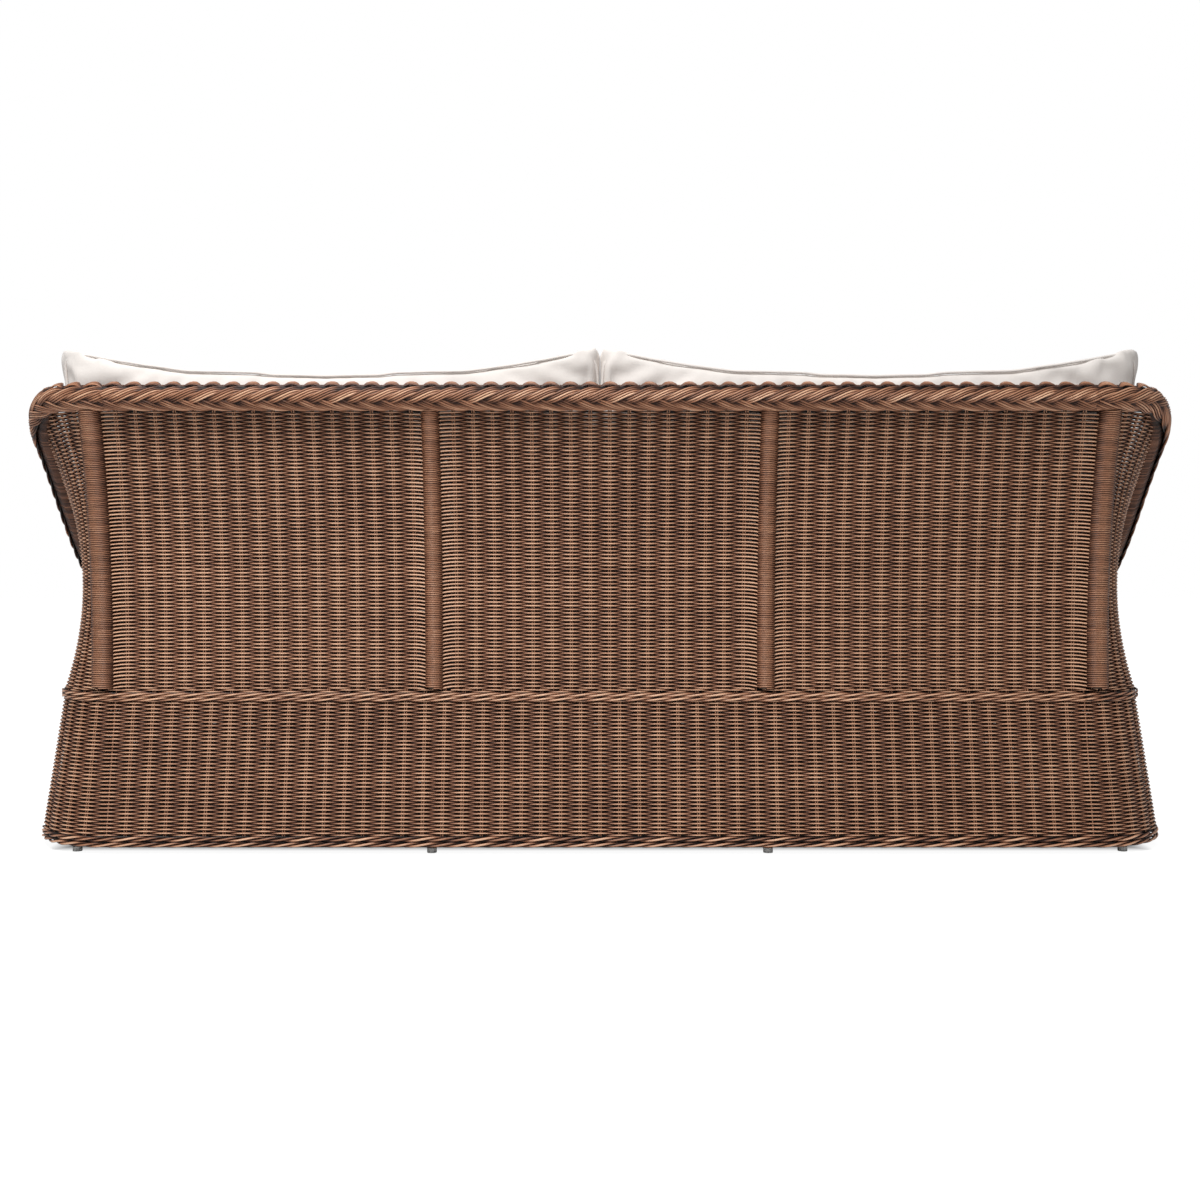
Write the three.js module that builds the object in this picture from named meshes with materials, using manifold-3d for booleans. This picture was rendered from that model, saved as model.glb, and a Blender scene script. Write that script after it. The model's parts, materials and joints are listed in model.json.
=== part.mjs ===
import * as THREE from "three";
import Module from "manifold-3d";
import { mergeVertices } from "three/addons/utils/BufferGeometryUtils.js";

// Woven garden sofa. Millimetres, +Z up. The sofa faces -Y, its back is at +Y, and +X is the sitter's left.

// Driving dimensions of the whole
const overallWidth = 2180;
const overallDepth = 900;
const rollTopZ = 870;
const armTopZ = 515;
const skirtTopZ = 300;
const seatGap = 0.3;
const cutOverrun = 6;

// Braided roll and the bent tube inside it
const rollRadius = 27;
const rimTubeRadius = 14;
const tubeWall = 2;
const rimCornerRadius = 150;
const swoopStart = 80;
const swoopLength = 535;
const frontBendRadius = 90;
const straightLead = 10;
const legBendShare = 0.2;

// Woven shell: how far its middle surface stands in from the roll's centre line, or out from it
const sheetThickness = 10;
const bandSideInset = 25;
const bandBackInset = 83;
const sideWaist = 66;
const backWaist = 27;
const hemSideFlare = 8;
const hemFrontInset = 1;
const hemBackInset = 21;
const hemFrontFlare = 12;

// Pairs of stakes in the woven walls: spacing, hollow between them, and the open strips beside the posts
const stakeSpacing = 36.5;
const stakeHollow = 2.7;
const innerPostStrip = 17;
const middleStrip = 24;
const cornerPostStrip = 23;

// Twisted bands
const hemClearance = 9;
const hemRopeHeight = 27;
const hemRopeDepth = 18;
const bandHeight = 30;
const bandProud = 8;
const bandEdge = 2.5;

// Posts, rails and legs of the frame
const innerWrapRadius = 18.5;
const cornerWrapRadius = 23;
const postTubeRadius = 12.5;
const seatRailRadius = 12.5;
const floorRailRadius = 11;
const rearLegRadius = 11;
const cornerLegAngle = THREE.MathUtils.degToRad(27);

// Seat deck and its bearers
const bearerWidth = 20;
const bearerHeight = 25;
const bearerCount = 4;
const bearerSpacing = 400;
const deckThickness = 6;
const deckRearGap = 0.8;
const deckCornerRadius = 104;

// Glides
const glideRadius = 9;
const glidePlugHeight = 15;

// Seat cushions
const seatCushionHeight = 140;
const seatCushionCrown = 16;
const seatCushionOverhang = 12;
const seatCushionFrontGap = 3;
const seatCushionRearGap = 10;
const seatCushionTaper = 26;
const seatCushionCorner = 70;
const seatBoxBulge = 5;
const cushionDraw = 7;
const cushionSplit = 0.5;

// Back cushions
const backCushionTopZ = 945;
const backCushionTopDip = 51;
const backCushionThickness = 165;
const backCushionEdge = 100;
const backCushionLowerGap = 11;
const backCushionUpperGap = 14;
const backCushionPostGap = 1.2;
const backCushionCorner = 95;
const backCushionSoftCorner = 30;
const backCushionFlareZ = 600;
const backCushionFlareHeight = 230;

// Fineness of the meshes
const roundSegments = 5;
const tubeSegments = 4;
const glideSides = 12;

// Places that follow from the driving dimensions
const rimHalfWidth = overallWidth / 2 - rollRadius;
const rimBackY = overallDepth / 2 - rollRadius;
const rimBackZ = rollTopZ - rollRadius;
const armZ = armTopZ - rollRadius;
const legY = -rimBackY;
const cornerX = rimHalfWidth - rimCornerRadius;
const rollJointX = cornerX - straightLead;
const rimCornerY = rimBackY - rimCornerRadius;
const cornerLength = rimCornerRadius * Math.PI / 2;
const bendStart = cornerLength + rimCornerY - (legY + frontBendRadius);
const legStation = bendStart + frontBendRadius;
const panelFrontY = legY + rollRadius + seatGap;
const panelFrontStation = legStation - rollRadius - seatGap;
const bandHalfWidth = rimHalfWidth - bandSideInset;
const bandBackY = rimBackY - bandBackInset;
const hemHalfWidth = rimHalfWidth + hemSideFlare;
const hemFrontHalfWidth = rimHalfWidth - hemFrontInset;
const hemBackY = rimBackY - hemBackInset;
const hemZ = hemClearance + hemRopeHeight / 2;
const skirtBottomZ = hemClearance + hemRopeHeight + seatGap;
const halfSheet = sheetThickness / 2;
const cornerPostX = cornerX + cornerWrapRadius + seatGap;
const innerPostX = cornerPostX / 3;
const postFootZ = skirtTopZ + seatGap;
const seatRailInset = halfSheet + seatGap + seatRailRadius;
const seatRailTopZ = skirtTopZ;
const seatRailZ = seatRailTopZ - seatRailRadius;
const floorRailInset = hemRopeDepth / 2 + seatGap + floorRailRadius;
const floorRailZ = hemClearance + floorRailRadius;
const deckBottomZ = seatRailTopZ + seatGap;
const deckTopZ = deckBottomZ + deckThickness;
const seatCushionBottomZ = deckTopZ + seatGap;
const seatCushionFrontY = legY - seatCushionOverhang;
const seatCushionRearY = bandBackY - cornerWrapRadius - seatCushionRearGap;

const lerp = THREE.MathUtils.lerp;
const clamp = THREE.MathUtils.clamp;
const vector = (x, y, z) => new THREE.Vector3(x, y, z);
const hump = (share) => 4 * share * (1 - share);
const countTo = (last) => Array.from({ length: last + 1 }, (_, i) => i);
const evenly = (first, last, steps) => countTo(steps).map((i) => lerp(first, last, i / steps));
const sides = [["left", 1], ["right", -1]];

// Line of the braided roll: station is the distance round from where the back corner begins
function rimHeight(station) {
  const share = clamp((station - swoopStart) / swoopLength, 0, 1);
  return lerp(rimBackZ, armZ, share * share * (3 - 2 * share));
}

// Share of the way out from the waist at the seat, with a soft bend in place of a corner
const bentShare = (share) => Math.hypot(share, legBendShare) - legBendShare;
const softBend = (share) => bentShare(share) / bentShare(1);

function armLegHalfWidth(z) {
  if (z > skirtTopZ) return lerp(bandHalfWidth, rimHalfWidth, softBend((z - skirtTopZ) / (armZ - skirtTopZ)));
  const drop = Math.min((skirtTopZ - z) / (skirtTopZ - hemZ), 1);
  return lerp(bandHalfWidth, hemFrontHalfWidth, softBend(drop));
}

function rimPoint(station) {
  if (station < cornerLength) {
    const turn = station / rimCornerRadius;
    const x = cornerX + rimCornerRadius * Math.sin(turn);
    const y = rimCornerY + rimCornerRadius * Math.cos(turn);
    return vector(x, y, rimHeight(station));
  }
  if (station <= bendStart) {
    return vector(rimHalfWidth, rimCornerY - (station - cornerLength), rimHeight(station));
  }
  const turn = (station - bendStart) / frontBendRadius;
  const z = armZ - frontBendRadius + frontBendRadius * Math.cos(turn);
  return vector(armLegHalfWidth(z), legY + frontBendRadius - frontBendRadius * Math.sin(turn), z);
}

// Height of the roll's underside above a station, so that a panel's top edge meets it
function rollUnderside(station) {
  const reach = rollRadius + 3 * seatGap;
  const bendEnd = bendStart + frontBendRadius * Math.PI / 2;
  let lowest = Infinity;
  for (const place of evenly(station - reach, Math.min(station + 3 * reach, bendEnd), 160)) {
    const turn = Math.max(place - bendStart, 0) / frontBendRadius;
    const along = Math.min(place, bendStart) + frontBendRadius * Math.sin(turn) - station;
    if (Math.abs(along) > reach) continue;
    const z = rimHeight(place) - frontBendRadius * (1 - Math.cos(turn));
    lowest = Math.min(lowest, z - Math.sqrt(reach ** 2 - along ** 2));
  }
  return lowest;
}

// Half width and back of the shell's middle surface above the skirt
function upperSection(z, station) {
  const rimZ = rimHeight(station);
  const rise = (z - skirtTopZ) / (rimZ - skirtTopZ);
  const tall = (rimZ - skirtTopZ) / (rimBackZ - skirtTopZ);
  const fade = 1 - clamp((station - cornerLength) / (legStation - cornerLength), 0, 1);
  return {
    half: lerp(bandHalfWidth, rimHalfWidth, rise) - sideWaist * tall * fade * hump(rise),
    back: lerp(bandBackY, rimBackY, rise) - backWaist * tall * hump(rise),
  };
}

// The same for the skirt, where front is the share of the way from the back corner to the front
function skirtSection(z, front) {
  const drop = (skirtTopZ - z) / (skirtTopZ - hemZ);
  return {
    half: lerp(bandHalfWidth, lerp(hemHalfWidth, hemFrontHalfWidth, front), drop),
    back: lerp(bandBackY, hemBackY, drop),
  };
}

// A point of a plan with round back corners, moved out by offset: across, round the corner or along the side
function planPoint({ half, back }, column, offset, z, firstTurn = 0) {
  const radius = half - cornerX;
  if ("x" in column) return vector(column.x, back + offset, z);
  if ("corner" in column) {
    const turn = lerp(firstTurn, Math.PI / 2, column.corner);
    const reach = radius + offset;
    return vector(cornerX + reach * Math.sin(turn), back - radius + reach * Math.cos(turn), z);
  }
  return vector(half + offset, lerp(back - radius, panelFrontY, column.side), z);
}

// Turns a closed mesh so that its faces point out
function facingOut(geometry) {
  const position = geometry.getAttribute("position");
  const index = geometry.index.array;
  const [a, b, c] = [vector(0, 0, 0), vector(0, 0, 0), vector(0, 0, 0)];
  let volume = 0;
  for (let i = 0; i < index.length; i += 3) {
    a.fromBufferAttribute(position, index[i]);
    b.fromBufferAttribute(position, index[i + 1]);
    c.fromBufferAttribute(position, index[i + 2]);
    volume += a.dot(b.cross(c));
  }
  if (volume < 0) {
    for (let i = 0; i < index.length; i += 3) [index[i + 1], index[i + 2]] = [index[i + 2], index[i + 1]];
  }
  geometry.computeVertexNormals();
  return geometry;
}

function welded(geometry) {
  geometry.deleteAttribute("normal");
  geometry.deleteAttribute("uv");
  return mergeVertices(geometry, seatGap / 1000);
}

function mirrored(geometry, sign) {
  return facingOut(sign < 0 ? geometry.clone().scale(-1, 1, 1) : geometry);
}

// A sheet with a wall: pointAt(column, row, face) gives its outer (+1) and inner (-1) face
function sheet(columns, rows, pointAt) {
  const points = [];
  const faces = [];
  const place = (i, j, face) => ((face > 0 ? 0 : 1) * columns.length + i) * rows.length + j;
  for (const face of [1, -1]) {
    for (const column of columns) for (const row of rows) points.push(pointAt(column, row, face));
  }
  const quad = (a, b, c, d) => faces.push(a, b, c, a, c, d);
  const end = columns.length - 1;
  const lastRow = rows.length - 1;
  for (let i = 0; i < end; i++) {
    for (let j = 0; j < lastRow; j++) {
      quad(place(i, j, 1), place(i + 1, j, 1), place(i + 1, j + 1, 1), place(i, j + 1, 1));
      quad(place(i, j, -1), place(i, j + 1, -1), place(i + 1, j + 1, -1), place(i + 1, j, -1));
    }
    quad(place(i, 0, -1), place(i + 1, 0, -1), place(i + 1, 0, 1), place(i, 0, 1));
    quad(place(i, lastRow, 1), place(i + 1, lastRow, 1), place(i + 1, lastRow, -1), place(i, lastRow, -1));
  }
  for (let j = 0; j < lastRow; j++) {
    quad(place(0, j, 1), place(0, j + 1, 1), place(0, j + 1, -1), place(0, j, -1));
    quad(place(end, j, -1), place(end, j + 1, -1), place(end, j + 1, 1), place(end, j, 1));
  }
  const geometry = new THREE.BufferGeometry().setFromPoints(points);
  geometry.setIndex(faces);
  return facingOut(geometry);
}

// A route whose steps fall on the given points, so that straight runs need none in between
class StationRoute extends THREE.Curve {
  constructor(points) {
    super();
    this.points = points;
  }
  getPoint(share, target = vector(0, 0, 0)) {
    const place = clamp(share, 0, 1) * (this.points.length - 1);
    const first = Math.min(Math.floor(place), this.points.length - 2);
    return target.lerpVectors(this.points[first], this.points[first + 1], place - first);
  }
  getPointAt(share, target) {
    return this.getPoint(share, target);
  }
  getTangentAt(share, target = vector(0, 0, 0)) {
    const last = this.points.length - 1;
    const place = Math.round(share * last);
    const before = this.points[Math.max(place - 1, 0)];
    const after = this.points[Math.min(place + 1, last)];
    return target.subVectors(after, before).normalize();
  }
}

function swept(points, shape, curveSegments = roundSegments) {
  const options = { steps: points.length - 1, curveSegments, extrudePath: new StationRoute(points) };
  return facingOut(welded(new THREE.ExtrudeGeometry(shape, options)));
}

function round(radius, boreRadius = 0) {
  const shape = new THREE.Shape().absarc(0, 0, radius, 0, 2 * Math.PI, false);
  if (boreRadius > 0) shape.holes.push(new THREE.Path().absarc(0, 0, boreRadius, 0, 2 * Math.PI, true));
  return shape;
}

// Radius of a bore whose flat facets stay clear of a round piece inside it
const flatShare = (segments) => Math.cos(Math.PI / (2 * segments));
const boreFor = (radius) => (radius + seatGap) / flatShare(roundSegments);
const tube = (points, radius) => swept(points, round(radius, radius - tubeWall), tubeSegments);

// Boolean cuts
const manifold = await Module();
manifold.setup();

function solid(geometry) {
  const vertProperties = geometry.getAttribute("position").array;
  const triVerts = new Uint32Array(geometry.index.array);
  return new manifold.Manifold(new manifold.Mesh({ numProp: 3, vertProperties, triVerts }));
}

function cutBy(geometry, cutter) {
  const mesh = solid(geometry).subtract(solid(cutter)).getMesh();
  const result = new THREE.BufferGeometry();
  result.setAttribute("position", new THREE.BufferAttribute(new Float32Array(mesh.vertProperties), 3));
  result.setIndex(Array.from(mesh.triVerts));
  return facingOut(result);
}

const sofa = new THREE.Group();
const finishes = {
  strand: { color: 0x8c6349, roughness: 0.62, metalness: 0 },
  braid: { color: 0x96694a, roughness: 0.6, metalness: 0 },
  frame: { color: 0x4a382c, roughness: 0.45, metalness: 0.6 },
  webbing: { color: 0x4b3a30, roughness: 0.8, metalness: 0 },
  canvas: { color: 0xe9e3db, roughness: 0.95, metalness: 0 },
  glide: { color: 0x8d8d8b, roughness: 0.5, metalness: 0 },
};

function add(name, geometry, finish) {
  const mesh = new THREE.Mesh(geometry, new THREE.MeshStandardMaterial(finishes[finish]));
  mesh.name = name;
  sofa.add(mesh);
}

// Post lines: a post follows the back panel's middle surface up to the tube in the roll
function postPoint(x, z) {
  const station = Math.max(x - cornerX, 0);
  const { half, back } = upperSection(z, station);
  const radius = half - cornerX;
  return vector(x, back - radius + Math.sqrt(radius ** 2 - station ** 2), z);
}

// Line of a post's centre up to the roll: it ends where an end of this radius just clears the tube over it
function postLine(x, radius, tubeOver) {
  const points = evenly(postFootZ + straightLead, rimBackZ - 2 * rollRadius, 5).map((z) => postPoint(x, z));
  points.unshift(points[0].clone().setZ(postFootZ));
  const head = postPoint(x, rimBackZ);
  const direction = head.clone().sub(points.at(-1)).normalize();
  const bend = head.y - postPoint(x + radius, rimBackZ).y;
  const standOff = bend * direction.y + Math.sqrt((tubeOver + seatGap) ** 2 - (bend * direction.z) ** 2);
  points.push(head.addScaledVector(direction, -standOff));
  return points;
}

const posts = [
  ["corner", "left", cornerPostX, cornerWrapRadius],
  ["inner", "left", innerPostX, innerWrapRadius],
  ["inner", "right", -innerPostX, innerWrapRadius],
  ["corner", "right", -cornerPostX, cornerWrapRadius],
];

function addPosts() {
  for (const [kind, side, x, wrapRadius] of posts) {
    const sign = Math.sign(x);
    const tubeLine = postLine(Math.abs(x), postTubeRadius, rimTubeRadius);
    const wrapLine = postLine(Math.abs(x), wrapRadius, rollRadius);
    const wrap = swept(wrapLine, round(wrapRadius, boreFor(postTubeRadius)));
    add(`${kind}_post_tube_${side}`, mirrored(tube(tubeLine, postTubeRadius), sign), "frame");
    add(`${kind}_post_wrap_${side}`, mirrored(wrap, sign), "strand");
  }
}

// A cutter for the hole that a post tube needs in the roll's underside
function postHole(x) {
  const line = postLine(x, postTubeRadius, rimTubeRadius);
  const head = line.at(-1);
  const direction = head.clone().sub(line.at(-2)).normalize();
  const start = head.clone().addScaledVector(direction, -(rollRadius + cutOverrun));
  const end = head.clone().addScaledVector(direction, seatGap);
  return swept([start, end], round(boreFor(postTubeRadius)));
}

// Stations along the swoop of the arm
const swoopStations = evenly(cornerLength, swoopStart + swoopLength, 14);

function armRollStations() {
  const bendLength = frontBendRadius * Math.PI / 2;
  return [
    ...evenly(0, cornerLength, 12),
    ...swoopStations.slice(1),
    ...evenly(bendStart, bendStart + bendLength, 5),
  ];
}

// Shares of the leg's way from the waist at the seat, up or down, where its bend needs a point
const legShares = [0.12, 0.3];

function armRollLine() {
  const points = armRollStations().map(rimPoint);
  points.unshift(vector(rollJointX + seatGap, rimBackY, rimBackZ));
  const heights = [...legShares.map((share) => lerp(skirtTopZ, armZ, share)).reverse(), skirtTopZ];
  heights.push(...legShares.map((share) => lerp(skirtTopZ, hemZ, share)), hemZ, hemClearance);
  for (const z of heights) points.push(vector(armLegHalfWidth(z), legY, z));
  return points;
}

function addRoll() {
  const straight = [-rollJointX, rollJointX].map((x) => vector(x, rimBackY, rimBackZ));
  const rollSection = round(rollRadius, boreFor(rimTubeRadius));
  const drilledBack = cutBy(swept(straight, rollSection), postHole(innerPostX));
  add("braided_roll_back", cutBy(drilledBack, mirrored(postHole(innerPostX), -1)), "braid");
  add("rim_tube_back", tube(straight, rimTubeRadius), "frame");
  const armRoll = cutBy(swept(armRollLine(), rollSection), postHole(cornerPostX));
  for (const [side, sign] of sides) {
    add(`braided_roll_${side}_arm`, mirrored(armRoll, sign), "braid");
    add(`arm_tube_${side}`, mirrored(tube(armRollLine(), rimTubeRadius), sign), "frame");
  }
}

// Shares of a wall's length that fall on each pair of stakes and midway between them
function stakeShares(length) {
  return evenly(0, 1, 2 * Math.max(Math.round(length / stakeSpacing), 1));
}

// Distance of a woven wall's face from its middle, least in a hollow between stakes
function faceReach(column, face) {
  return face * (halfSheet - stakeHollow * column.hollow);
}

function bayColumns(from, firstStrip, lastStrip, to) {
  const [first, last] = [from + firstStrip, to - lastStrip];
  const stakes = byStakes(last - first, (share) => ({ x: lerp(first, last, share) }));
  return [{ x: from, hollow: 1 }, ...stakes, { x: to, hollow: 1 }];
}

// Woven panels above the skirt
function addBackPanels() {
  const innerEdge = innerWrapRadius + seatGap;
  const heights = evenly(postFootZ, rollUnderside(0), 6);
  const pointAt = (column, z, face) => vector(column.x, upperSection(z, 0).back + faceReach(column, face), z);
  const bay = bayColumns(innerPostX + innerEdge, innerPostStrip, cornerPostStrip, cornerX);
  for (const [side, sign] of sides) {
    add(`back_panel_${side}`, mirrored(sheet(bay, heights, pointAt), sign), "strand");
  }
  const middle = bayColumns(innerEdge - innerPostX, middleStrip, middleStrip, innerPostX - innerEdge);
  add("back_panel_centre", sheet(middle, heights, pointAt), "strand");
}

function armPanelPoint(column, share, face) {
  const postSpan = 2 * (cornerWrapRadius + seatGap);
  const rimTurn = lerp(Math.asin(postSpan / rimCornerRadius), Math.PI / 2, column.corner ?? 1);
  const round = rimTurn * rimCornerRadius;
  const station = "corner" in column ? round : lerp(cornerLength, panelFrontStation, column.side);
  const z = lerp(postFootZ, rollUnderside(station), share);
  const section = upperSection(z, station);
  const firstTurn = Math.asin(postSpan / (section.half - cornerX));
  return planPoint(section, column, faceReach(column, face), z, firstTurn);
}

// Stations under the bend at the front of the arm, as far as the panel's front edge
function bendStations() {
  return evenly(0, Math.PI / 2, 5).map((turn) => bendStart + frontBendRadius * Math.sin(turn)).slice(0, 3);
}

function addArmPanels() {
  const straight = stakeShares(bendStart - cornerLength).map((share) => lerp(cornerLength, bendStart, share));
  const stations = [...straight.slice(1), ...bendStations().slice(1), panelFrontStation];
  const corners = stakeShares(cornerLength - 2 * (cornerWrapRadius + seatGap));
  const lastSpan = panelFrontStation - cornerLength;
  const columns = [
    ...corners.map((corner, i) => ({ corner, hollow: (i + 1) % 2 })),
    ...stations.map((station, i) => ({ side: (station - cornerLength) / lastSpan, hollow: i % 2 })),
  ];
  const panel = sheet(columns, evenly(0, 1, 6), armPanelPoint);
  for (const [side, sign] of sides) add(`arm_panel_${side}`, mirrored(panel, sign), "strand");
}

// Skirt, the band round its top and the rope along its hem
function skirtPoint(column, z, offset) {
  return planPoint(skirtSection(z, column.side ?? 0), column, offset, z);
}

const skirtCornerRadius = (bandHalfWidth + hemHalfWidth) / 2 - cornerX;
const skirtCornerLength = skirtCornerRadius * Math.PI / 2;
const bandSideColumns = [...stakeShares(skirtCornerLength).map((corner) => ({ corner })), { side: 1 }];
const acrossBack = [-1, 1].map((share) => ({ x: share * (cornerX - seatGap / 2) }));

function byStakes(length, columnAt) {
  return stakeShares(length).map((share, i) => ({ ...columnAt(share), hollow: i % 2 }));
}

function frontEdge(z) {
  return armLegHalfWidth(z) - rollRadius - seatGap;
}

function frontFaceY(z) {
  return legY - hemFrontFlare * clamp((skirtTopZ - z) / (skirtTopZ - hemZ), 0, 1);
}

function addSkirt() {
  const heights = [skirtTopZ, skirtBottomZ];
  const [leftEnd, rightEnd] = acrossBack;
  const wall = (column, z, face) => skirtPoint(column, z, faceReach(column, face));
  const backColumns = byStakes(2 * cornerX, (share) => ({ x: lerp(leftEnd.x, rightEnd.x, share) }));
  add("skirt_back", sheet(backColumns, heights, wall), "strand");
  const sideColumns = [
    ...byStakes(skirtCornerLength, (corner) => ({ corner })),
    ...byStakes(bandBackY - skirtCornerRadius - panelFrontY, (side) => ({ side })).slice(1),
  ];
  const sideWall = sheet(sideColumns, heights, wall).translate(seatGap / 2, 0, 0);
  for (const [side, sign] of sides) add(`skirt_${side}`, mirrored(sideWall, sign), "strand");
  const frontHeights = [skirtTopZ, ...legShares.map((share) => lerp(skirtTopZ, hemZ, share)), skirtBottomZ];
  const frontColumns = byStakes(2 * frontEdge(skirtTopZ), (share) => ({ across: lerp(-1, 1, share) }));
  const frontWall = (column, z, face) => {
    return vector(column.across * frontEdge(z), frontFaceY(z) - faceReach(column, face), z);
  };
  add("skirt_front", sheet(frontColumns, frontHeights, frontWall), "strand");
}

function addSeatBand() {
  const shares = evenly(0, 1, 4);
  const proud = (share) => bandEdge + (bandProud - bandEdge) * hump(share);
  const reach = (share, face) => halfSheet + seatGap + (face > 0 ? proud(share) : 0);
  const heightOf = (share) => skirtTopZ - bandHeight * share;
  const wall = (column, share, face) => skirtPoint(column, heightOf(share), reach(share, face));
  add("seat_band_back", sheet(acrossBack, shares, wall), "braid");
  const sideBand = sheet(bandSideColumns, shares, wall).translate(seatGap / 2, 0, 0);
  for (const [side, sign] of sides) add(`seat_band_${side}`, mirrored(sideBand, sign), "braid");
  const frontWall = (sign, share, face) => {
    const z = heightOf(share);
    return vector(sign * frontEdge(z), frontFaceY(z) - reach(share, face), z);
  };
  add("seat_band_front", sheet([-1, 1], shares, frontWall), "braid");
}

// Line round the back of a horizontal rail or rope, with its bent corners, from left to right
function backLine({ half, back }, inset, z) {
  const corner = evenly(1, 0, 6).map((share) => planPoint({ half, back }, { corner: share }, -inset, z));
  corner.unshift(corner[0].clone().setY(corner[0].y - straightLead));
  const opposite = corner.map((point) => vector(-point.x, point.y, z)).reverse();
  return [...corner, ...opposite];
}

// Line along one side from the end of the back line to the front leg
function sideRun({ half, back }, inset, z, frontHalf, frontY = panelFrontY) {
  const cornerY = back - (half - cornerX) - straightLead;
  const start = vector(half - inset, cornerY - seatGap, z);
  return [start, start.clone().setY(start.y - straightLead), vector(frontHalf - inset, frontY, z)];
}

function ropeSection() {
  return new THREE.Shape().absellipse(0, 0, hemRopeHeight / 2, hemRopeDepth / 2, 0, 2 * Math.PI, false);
}

function addHemRope() {
  const section = { half: hemHalfWidth, back: hemBackY };
  add("hem_band_back", swept(backLine(section, 0, hemZ), ropeSection()), "braid");
  const sideLine = sideRun(section, 0, hemZ, hemFrontHalfWidth);
  const sideRope = swept(sideLine, ropeSection());
  for (const [side, sign] of sides) add(`hem_band_${side}`, mirrored(sideRope, sign), "braid");
  const [endX, frontY] = [frontEdge(hemZ), frontFaceY(hemZ)];
  const frontLine = [-endX, endX].map((x) => vector(x, frontY, hemZ));
  add("hem_band_front", swept(frontLine, ropeSection()), "braid");
}

// Seat frame and floor frame: a bent rail round the back, two side rails and a front rail each
function addRailRing(name, { radius, inset, z, section, frontHalf, frontY }) {
  add(`${name}_back`, tube(backLine(section, inset, z), radius), "frame");
  const sideEndY = Math.max(frontY + radius + seatGap, panelFrontY);
  const sideRail = tube(sideRun(section, inset, z, frontHalf, sideEndY), radius);
  for (const [side, sign] of sides) add(`${name}_${side}`, mirrored(sideRail, sign), "frame");
  const offset = Math.max(frontY - radius - legY, 0);
  const endX = armLegHalfWidth(z + radius) - Math.sqrt(rollRadius ** 2 - offset ** 2) - seatGap;
  add(`${name}_front`, tube([vector(-endX, frontY, z), vector(endX, frontY, z)], radius), "frame");
}

const seatSection = { half: bandHalfWidth, back: bandBackY };
const hemSection = { half: hemHalfWidth, back: hemBackY };
const seatRailFrontY = frontFaceY(skirtTopZ) + seatRailInset;
const floorRailFrontY = frontFaceY(hemZ) + floorRailInset;
const seatRing = {
  radius: seatRailRadius,
  inset: seatRailInset,
  z: seatRailZ,
  section: seatSection,
  frontHalf: bandHalfWidth,
  frontY: seatRailFrontY,
};
const floorRing = {
  radius: floorRailRadius,
  inset: floorRailInset,
  z: floorRailZ,
  section: hemSection,
  frontHalf: hemFrontHalfWidth,
  frontY: floorRailFrontY,
};

function addFrame() {
  addRailRing("seat_rail", seatRing);
  addRailRing("floor_rail", floorRing);
  const column = { corner: cornerLegAngle / (Math.PI / 2) };
  const legs = [
    ["corner", planPoint(seatSection, column, -seatRailInset, seatRailZ), floorCornerPoint()],
    ["inner", vector(innerPostX, bandBackY - seatRailInset, seatRailZ), innerFloorPoint()],
  ];
  for (const [kind, top, foot] of legs) {
    const down = foot.clone().sub(top).normalize();
    const start = top.clone().addScaledVector(down, seatRailRadius + seatGap);
    const end = foot.clone().addScaledVector(down, -(floorRailRadius + 2 * seatGap));
    const leg = tube([start, end], rearLegRadius);
    for (const [side, sign] of sides) add(`${kind}_leg_${side}`, mirrored(leg, sign), "frame");
  }
}

function floorCornerPoint() {
  return planPoint(hemSection, { corner: cornerLegAngle / (Math.PI / 2) }, -floorRailInset, floorRailZ);
}

function innerFloorPoint() {
  return vector(innerPostX, hemBackY - floorRailInset, floorRailZ);
}

// Seat bearers and the woven deck that lies on them
function addDeck() {
  const backEnd = bandBackY - seatRailInset - seatRailRadius - seatGap;
  const frontEnd = seatRailFrontY + seatRailRadius + seatGap;
  for (let i = 0; i < bearerCount; i++) {
    const bearer = new THREE.BoxGeometry(bearerWidth, backEnd - frontEnd, bearerHeight);
    const x = (i - (bearerCount - 1) / 2) * bearerSpacing;
    bearer.translate(x, (backEnd + frontEnd) / 2, seatRailTopZ - bearerHeight / 2);
    add(`seat_bearer_${i + 1}`, facingOut(welded(bearer)), "frame");
  }
  const half = bandHalfWidth - seatRailInset;
  const frontHalf = frontEdge(skirtTopZ) - seatGap;
  const backY = bandBackY - cornerWrapRadius - deckRearGap;
  const [frontY, notchY] = [legY - halfSheet, panelFrontY + seatGap];
  const outline = new THREE.Shape([
    new THREE.Vector2(-half, notchY),
    new THREE.Vector2(-frontHalf, notchY),
    new THREE.Vector2(-frontHalf, frontY),
    new THREE.Vector2(frontHalf, frontY),
    new THREE.Vector2(frontHalf, notchY),
    new THREE.Vector2(half, notchY),
  ]);
  const [arcX, arcY] = [half - deckCornerRadius, backY - deckCornerRadius];
  outline.absarc(arcX, arcY, deckCornerRadius, 0, Math.PI / 2, false);
  outline.absarc(-arcX, arcY, deckCornerRadius, Math.PI / 2, Math.PI, false);
  const options = { depth: deckThickness, bevelEnabled: false, curveSegments: roundSegments };
  const deck = new THREE.ExtrudeGeometry(outline, options);
  add("seat_deck", facingOut(welded(deck.translate(0, 0, deckBottomZ))), "webbing");
}

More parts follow.
